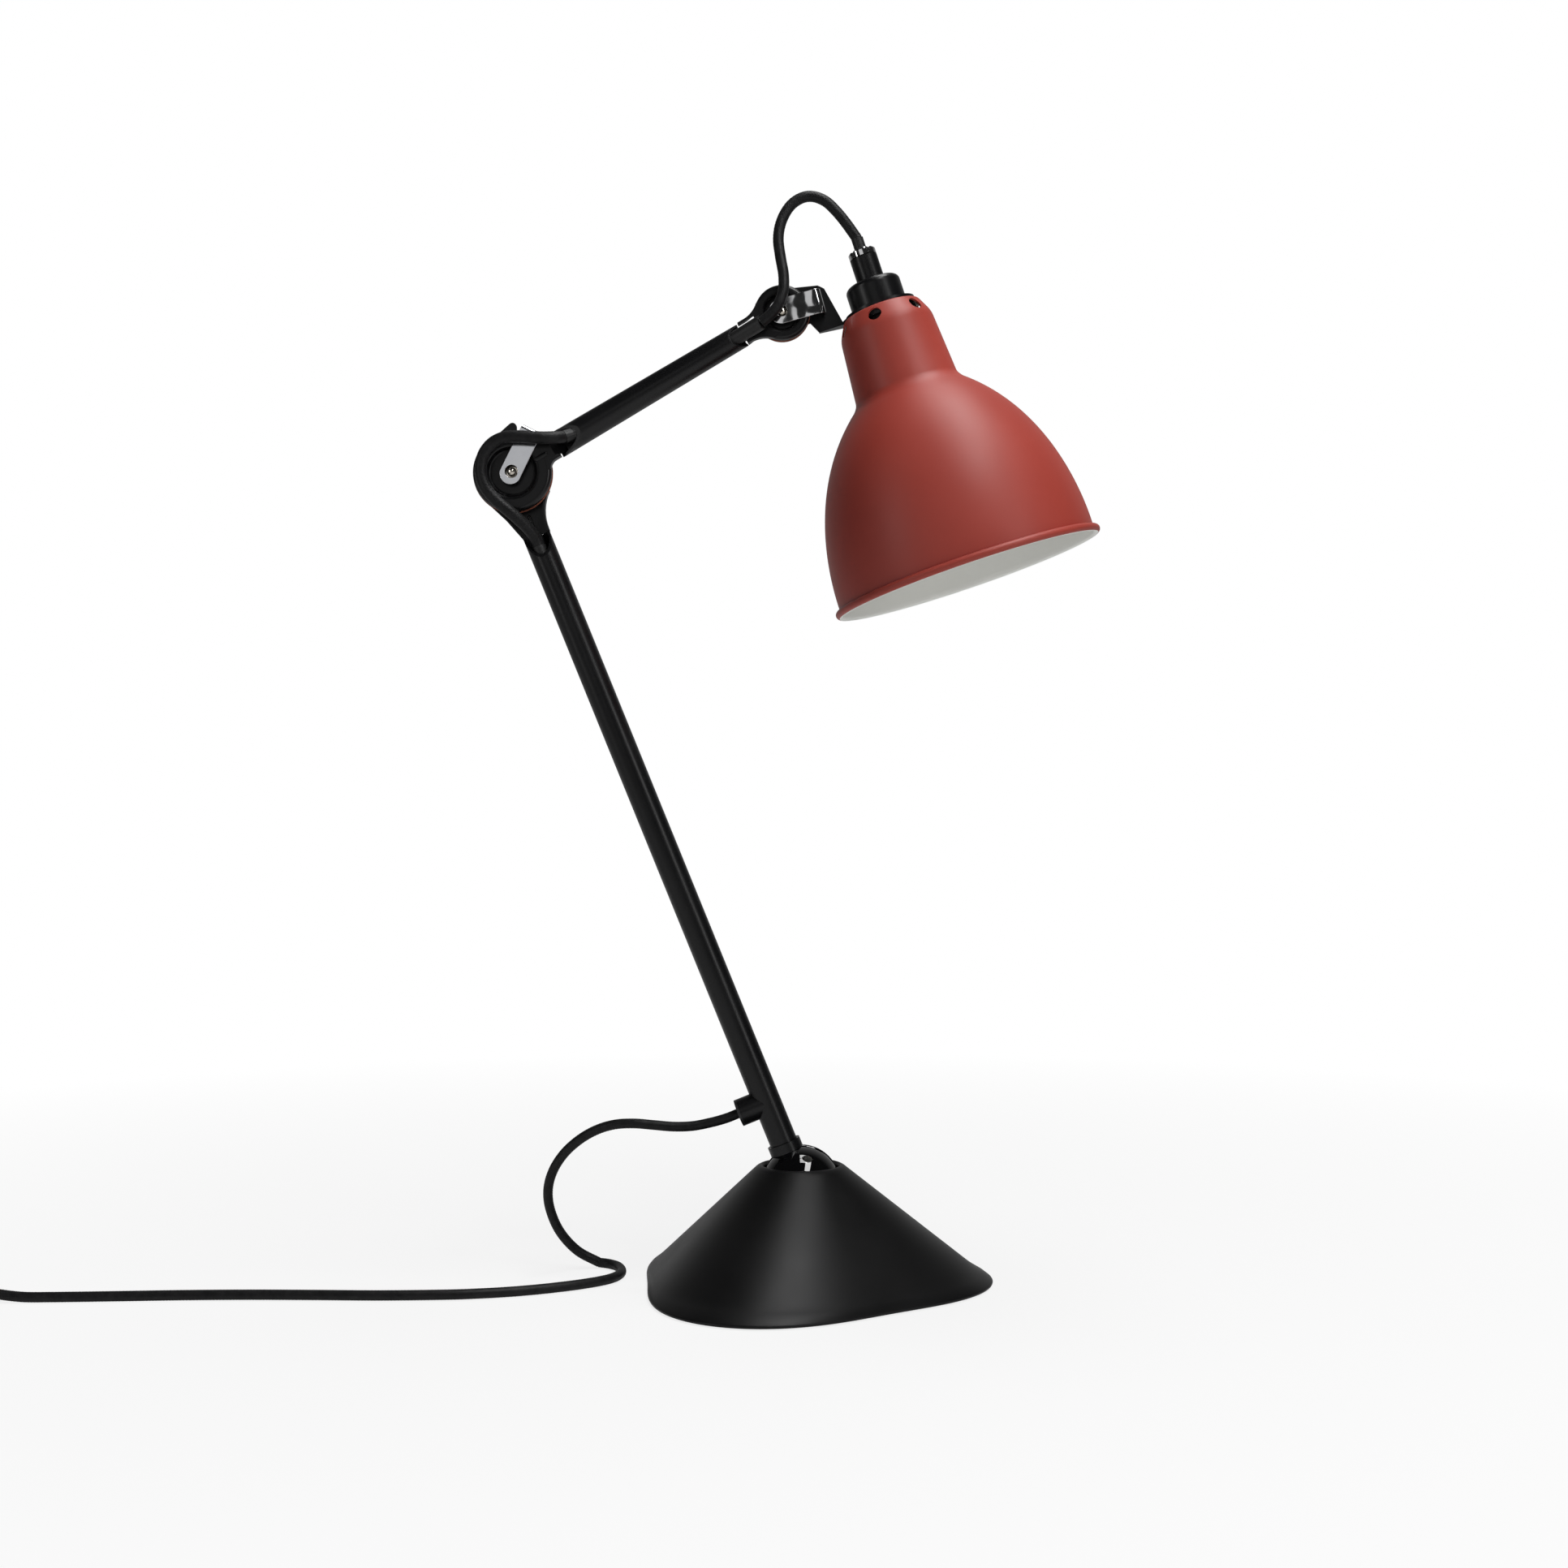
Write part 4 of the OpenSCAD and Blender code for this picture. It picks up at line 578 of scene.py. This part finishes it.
# %% Spun pieces
def spun(name, profile, count, place, body, node, materials, white=()):
    """A closed (radius, height) profile in mm, spun about place's Z axis. White lists inner segments."""
    bm = bmesh.new()
    points = [Vector((r / 1000, 0, z / 1000)) for r, z in profile]
    verts = [bm.verts.new(p) for p in points]
    edges = [bm.edges.new((a, b)) for a, b in zip(verts, verts[1:] + verts[:1])]
    bmesh.ops.spin(bm, geom=verts + edges, cent=(0, 0, 0), axis=(0, 0, 1), angle=2 * math.pi, steps=count,
        use_merge=True)
    bmesh.ops.recalc_face_normals(bm, faces=bm.faces)
    middles = np.array([(a + b)[:] for a, b in zip(points, points[1:] + points[:1])])[:, [0, 2]] / 2
    for face in bm.faces:
        at = face.calc_center_median()
        nearest = np.argmin(np.hypot(middles[:, 0] - math.hypot(at.x, at.y), middles[:, 1] - at.z))
        face.material_index = 1 if nearest in white else 0
    bm.transform(place)
    return put(name, mesh_of(bm, name, materials, 35), body, [node])


# %% [markdown]
# ## Shade
# The real bell is spun from thin sheet, and its lower edge is rolled outwards into a bead. It could be a
# surface with a Solidify modifier, but that can't roll the rim or change the paint. So the outside is drawn
# once, the inside is the same line moved in by the sheet's thickness, and the bead joins the two. Red enamel
# goes round the bead, and the off-white inside starts where the bead turns under.

# %% Shade's section, in millimetres
SHEET, BORE_R, TOP_Z = 1.0, 12.2, 140.5
BEAD_X, BEAD_R = 67.2, 2.0
outer = bezier((66.4, 2), (67.1, 22), (63.1, 66.5), (29.4, 95), 48)
outer += bezier((29.4, 95), (27.7, 96.9), (26.8, 98.2), (26.5, 100), 8)[1:]
outer += eased([(26.5, 100), (23.9, 131.8), (19.5, TOP_Z), (BORE_R, TOP_Z)], {1: 2.6, 2: 1.6}, 6)[1:]
line = np.array(outer[:-1])
slope = np.gradient(line, axis=0)
slope /= np.linalg.norm(slope, axis=1)[:, None]
inner = (line + SHEET * np.column_stack([-slope[:, 1], slope[:, 0]]))[::-1]
inner = [(BORE_R, TOP_Z - SHEET), *[tuple(p) for p in inner if 2.6 < p[1] < TOP_Z - SHEET]]
bead_turn = np.radians(np.linspace(205, 472, 20))
bead = [(BEAD_X + BEAD_R * math.cos(a), BEAD_R + BEAD_R * math.sin(a)) for a in bead_turn]
profile = [*inner, *bead, *[tuple(p) for p in outer if p[1] > 3.9]]
white_segments = range(len(inner) + 6)
print("points on the shade's section:", len(profile))

# %% Shade in place
HEAD_AT = Matrix.Translation((-0.009495, 0, 0.486729)) @ Matrix.Rotation(math.radians(-18.2), 4, "Y")
SHADE_AT = HEAD_AT @ Matrix.Translation((0.0475, 0, -0.0141 - TOP_Z / 1000))
shade = spun("shade_bell", profile, 180, SHADE_AT, "head", "shade", (red_enamel, white_enamel),
    white=white_segments)
print("shade:", len(shade.data.polygons), "faces")

# %% [markdown]
# ## Vents
# Warm air leaves the real shade through six punched holes in the slope round its neck. A picture of holes
# would stay flat and let no light through. So six short cylinders are cut out by one exact Boolean, whose
# result becomes the shade's mesh. The cutter has the red enamel, so the holes' edges are painted too.

# %% Vents
VENTS, FIRST_VENT, VENT_SLOPE, VENT_R = 6, -106, 66, 0.00345
cutter = bmesh.new()
for i in range(VENTS):
    turn = Matrix.Rotation(math.radians(i * 360 / VENTS + FIRST_VENT), 4, "Z")
    slant = Matrix.Rotation(math.radians(VENT_SLOPE), 4, "Y")
    at = SHADE_AT @ turn @ Matrix.Translation((0.0221, 0, 0.1354)) @ slant
    bmesh.ops.create_cone(cutter, cap_ends=True, segments=40, radius1=VENT_R, radius2=VENT_R, depth=0.012,
        matrix=at)
knife_mesh = bpy.data.meshes.new("vent_cutter")
cutter.to_mesh(knife_mesh)
cutter.free()
knife_mesh.materials.append(red_enamel)
knife = put("vent_cutter", knife_mesh)
cut = shade.modifiers.new("vents", "BOOLEAN")
cut.object = knife
cut.solver = "EXACT"
bpy.context.view_layer.update()
done = bpy.data.meshes.new_from_object(shade.evaluated_get(bpy.context.evaluated_depsgraph_get()))
shade.modifiers.clear()
shade.data = done
bpy.data.objects.remove(knife)
shade.data.set_sharp_from_angle(angle=math.radians(35))
print("shade with its vents:", len(shade.data.polygons), "faces")

# %% [markdown]
# ## Base
# The real base is a cast cover: a foot with three lobes, a low upright band, and a cone that draws in to a
# round mouth under the ball. A loft by scaled copies of the foot would carry its lobes up to the mouth. Here
# the mouth's points face the same way as the crease's, and straight lines join them, as a skin stretched
# over the two would. One grid, closed both ways, takes its places from these rings, inside and out.

# %% Rings of the base, in millimetres
FOOT_R, LOBE, BAND_H, SHOULDER = 86.9, 9.8, 7.8, 23.3
CREASE_R, CREASE_LOBE = 80.0, 7.4
MOUTH_R, TOP = 18.9, 60
COLUMNS, FOOT_TURN = 288, math.radians(4.5)
ROUND = 2 * np.pi * np.arange(COLUMNS) / COLUMNS


def lobed(r, a, z):
    """The foot's outline: a circle that swells by a at its three lobes."""
    rho, turn = r + a * np.cos(3 * ROUND), ROUND + FOOT_TURN
    return np.column_stack([rho * np.cos(turn), rho * np.sin(turn), np.full(COLUMNS, z)])


def ring(r, z):
    """A circle whose points face the same way as the crease's outline does."""
    lean = np.arctan2(-3 * CREASE_LOBE * np.sin(3 * ROUND), CREASE_R + CREASE_LOBE * np.cos(3 * ROUND))
    way = ROUND - lean + FOOT_TURN
    return np.column_stack([r * np.cos(way), r * np.sin(way), np.full(COLUMNS, z)])


key_rings = [
    # the foot and its band, up to the crease
    lobed(FOOT_R - 0.6, LOBE, 0.6), lobed(FOOT_R, LOBE, 1.8), lobed(FOOT_R - 2.2, LOBE - 1.1, 4.3),
    lobed(CREASE_R, CREASE_LOBE, BAND_H),
    # the round shoulder and the top
    ring(SHOULDER, 58.2), ring(SHOULDER - 1.1, 59.1), ring(SHOULDER - 2, 59.65), ring(SHOULDER - 2.9, TOP),
    # the mouth, and down the inside
    ring(MOUTH_R + 1, TOP), ring(MOUTH_R, 58.8), ring(MOUTH_R, 52), ring(20.5, 52),
    lobed(CREASE_R - 3, CREASE_LOBE, BAND_H - 1.5), lobed(FOOT_R - 3, LOBE - 0.4, 0.6),
]
ROUNDING = {0: 0.5, 1: 1.0, 3: 3.2, 4: 2.2, 7: 0.4, 9: 0.5}
columns = [eased([r[k] for r in key_rings], ROUNDING, 5) for k in range(COLUMNS)]
rows = np.array(columns).transpose(1, 0, 2) / 1000
print("rings and columns of the base:", rows.shape[:2])

# %% Base cover
bm = bmesh.new()
bmesh.ops.create_grid(bm, x_segments=COLUMNS, y_segments=len(rows), size=1)
closed = np.pad(rows, ((0, 1), (0, 1), (0, 0)), mode="wrap").reshape(-1, 3)
for vert, place in zip(bm.verts, closed, strict=True):
    vert.co = place
bmesh.ops.remove_doubles(bm, verts=bm.verts, dist=1e-6)
bmesh.ops.recalc_face_normals(bm, faces=bm.faces)
base = put("base_cover", mesh_of(bm, "base_cover", [base_black], 35), "base", ["base_shell"])
print("base cover:", len(base.data.vertices), "points,", len(base.data.polygons), "faces")

# %% [markdown]
# ## Ball
# The real ball is turned and polished, and a slot for the arm's tongue splits it. A UV sphere has no slot,
# and a Boolean would leave a knife edge there. So half a ball is spun about the cross bolt's axis, with its
# edge eased at the slot and a flat seat for the bolt's head. It is used twice, facing front and back.

# %% Ball halves
BALL_R, BOLT_R, HALF_SLOT, SEAT_R, SEAT_Z = 20.25, 3.05, 3, 6, 13.5
dome = [(BALL_R * math.sin(a), BALL_R * math.cos(a)) for a in np.radians(np.linspace(79.1, 17.3, 30))]
half = [(BOLT_R, HALF_SLOT), (19.05, HALF_SLOT), *dome, (SEAT_R, SEAT_Z), (BOLT_R, SEAT_Z)]
half = eased(half, {1: 0.4, 2: 0.5})
for name, node, way in (("ball_half_front", "ball_front", 90), ("ball_half_rear", "ball_rear", -90)):
    at = Matrix.Translation((0, 0, 0.0495)) @ Matrix.Rotation(math.radians(way), 4, "X")
    piece = spun(name, half, 120, at, "ball", node, (gloss_black,))
    print(name + ":", len(piece.data.polygons), "faces")

# %% [markdown]
# ## Surround
# The photograph is a cut-out on pure white, yet its black enamel mirrors a dim studio. One world can't be
# both, unless it asks which ray is looking. Camera rays, straight or through a clear thing, see white.
# Mirrored rays see a dim room that gets brighter towards its back wall, which gives the dark parts their
# light edges. All other rays get a faint even light, so the shadows stay deep.

# %% More node helpers
def reckon(tree, operation, a, b):
    """A Math node on two values or sockets."""
    node = tree.nodes.new("ShaderNodeMath")
    node.operation = operation
    wire(tree, a, node.inputs[0])
    wire(tree, b, node.inputs[1])
    return node.outputs["Value"]


def between(tree, share, a, b):
    """The value that lies share of the way from a to b."""
    node = tree.nodes.new("ShaderNodeMix")
    for label, x in {"Factor": share, "A": a, "B": b}.items():
        wire(tree, x, node.inputs[label])
    return node.outputs["Result"]


def straight_view(tree):
    """The Light Path outputs, and 1 for what the camera sees straight or through a clear thing."""
    rays = tree.nodes.new("ShaderNodeLightPath").outputs
    return rays, reckon(tree, "MAXIMUM", rays["Is Camera Ray"], rays["Is Transmission Ray"])


# %% Surround
AMBIENT, FRONT_GLOW, BACK_GLOW = 0.06, 0.02, 0.4
world = bpy.data.worlds.new("surround")
bpy.context.scene.world = world
world.use_nodes = True
tree = world.node_tree
split = tree.nodes.new("ShaderNodeSeparateXYZ")
wire(tree, tree.nodes.new("ShaderNodeTexCoord").outputs["Generated"], split.inputs["Vector"])
behind = spread(tree, split.outputs["Y"], 0.3, 0.95, FRONT_GLOW, BACK_GLOW)
rays, straight = straight_view(tree)
room = between(tree, rays["Is Glossy Ray"], AMBIENT, behind)
wire(tree, between(tree, straight, room, 1.0), tree.nodes["Background"].inputs["Strength"])
tree.nodes["Background"].inputs["Color"].default_value = (1, 1, 1, 1)
print("world nodes:", len(tree.nodes))

# %% [markdown]
# ## Floor
# The lamp stands on white paper that fades into the cut-out's white, with a soft shadow under the base. A
# lit plane alone would turn grey away from the lights. So the paper is part lit and part glowing: what the
# camera sees glows more with the distance, until it is plain white, and what enamel mirrors glows a little.

# %% Floor
NEAR_GLOW, FAR_GLOW, MIRRORED_GLOW = 0.8, 1.0, 0.2
floor_mat = bpy.data.materials.new("floor_paper")
floor_mat.use_nodes = True
tree = floor_mat.node_tree
paper = tree.nodes["Principled BSDF"]
paper.inputs["Base Color"].default_value = (0.86, 0.86, 0.86, 1)
paper.inputs["Roughness"].default_value = 0.9
far = tree.nodes.new("ShaderNodeVectorMath")
far.operation = "LENGTH"
wire(tree, tree.nodes.new("ShaderNodeTexCoord").outputs["Object"], far.inputs[0])
rays, straight = straight_view(tree)
mirrored = spread(tree, rays["Is Glossy Ray"], 0.0, 1.0, 0.0, MIRRORED_GLOW)
seen = reckon(tree, "MAXIMUM", straight, mirrored)
fade = spread(tree, far.outputs["Value"], 0.2, 1.0, NEAR_GLOW, FAR_GLOW)
mixed = tree.nodes.new("ShaderNodeMixShader")
wire(tree, reckon(tree, "MULTIPLY", seen, fade), mixed.inputs[0])
wire(tree, paper.outputs["BSDF"], mixed.inputs[1])
wire(tree, tree.nodes.new("ShaderNodeEmission").outputs["Emission"], mixed.inputs[2])
wire(tree, mixed.outputs["Shader"], tree.nodes["Material Output"].inputs["Surface"])
bm = bmesh.new()
bmesh.ops.create_grid(bm, x_segments=1, y_segments=1, size=8)
floor = put("floor", mesh_of(bm, "floor", [floor_mat], 35))
print("floor, m:", [round(x, 2) for x in floor.dimensions])


# %% [markdown]
# ## Lights
# Product lamps are photographed in soft boxes, and an area light is one. Each is here for a thing that is
# seen in the photograph: the key, at the upper right in front, lights the shade's round and the base's
# slopes. The overhead is wide and lifts the base's shoulder. The left one is a narrow strip that lights
# only gloss, so it lines the shade without filling its shadow. The card behind the camera is what the
# elbow's flat strip mirrors. The fill, a tall strip at the right, draws a line down the lower tube.

# %% Lights
def softbox(name, at, target, width, height, power, roll=0):
    """A rectangle of light that faces its target, turned about its own axis by roll degrees."""
    data = bpy.data.lights.new(name, "AREA")
    data.shape, data.size, data.size_y, data.energy = "RECTANGLE", width, height, power
    lamp = bpy.data.objects.new(name, data)
    bpy.context.scene.collection.objects.link(lamp)
    lamp.location = at
    aim = (Vector(target) - Vector(at)).to_track_quat("-Z", "Y").to_matrix()
    lamp.rotation_euler = (aim @ Matrix.Rotation(math.radians(roll), 3, "Z")).to_euler()
    print(name + ":", power, "W,", width, "by", height, "m")
    return lamp


softbox("key", (0.50, -0.60, 1.60), (0.09, -0.03, 0.42), 0.4, 1.1, 14, roll=-35)
softbox("left", (-1.3, -0.9, 0.62), (-0.1, 0, 0.38), 0.2, 1.0, 3).visible_diffuse = False
softbox("overhead", (0.18, 0.0, 1.75), (0.05, 0, 0.1), 0.85, 0.5, 9.5)
softbox("card", (-0.38, -1.6, 0.70), (-0.2, 0, 0.42), 0.8, 0.6, 0.85)
softbox("fill", (1.3, -1.25, 0.8), (-0.05, 0, 0.3), 0.4, 1.1, 5.5)
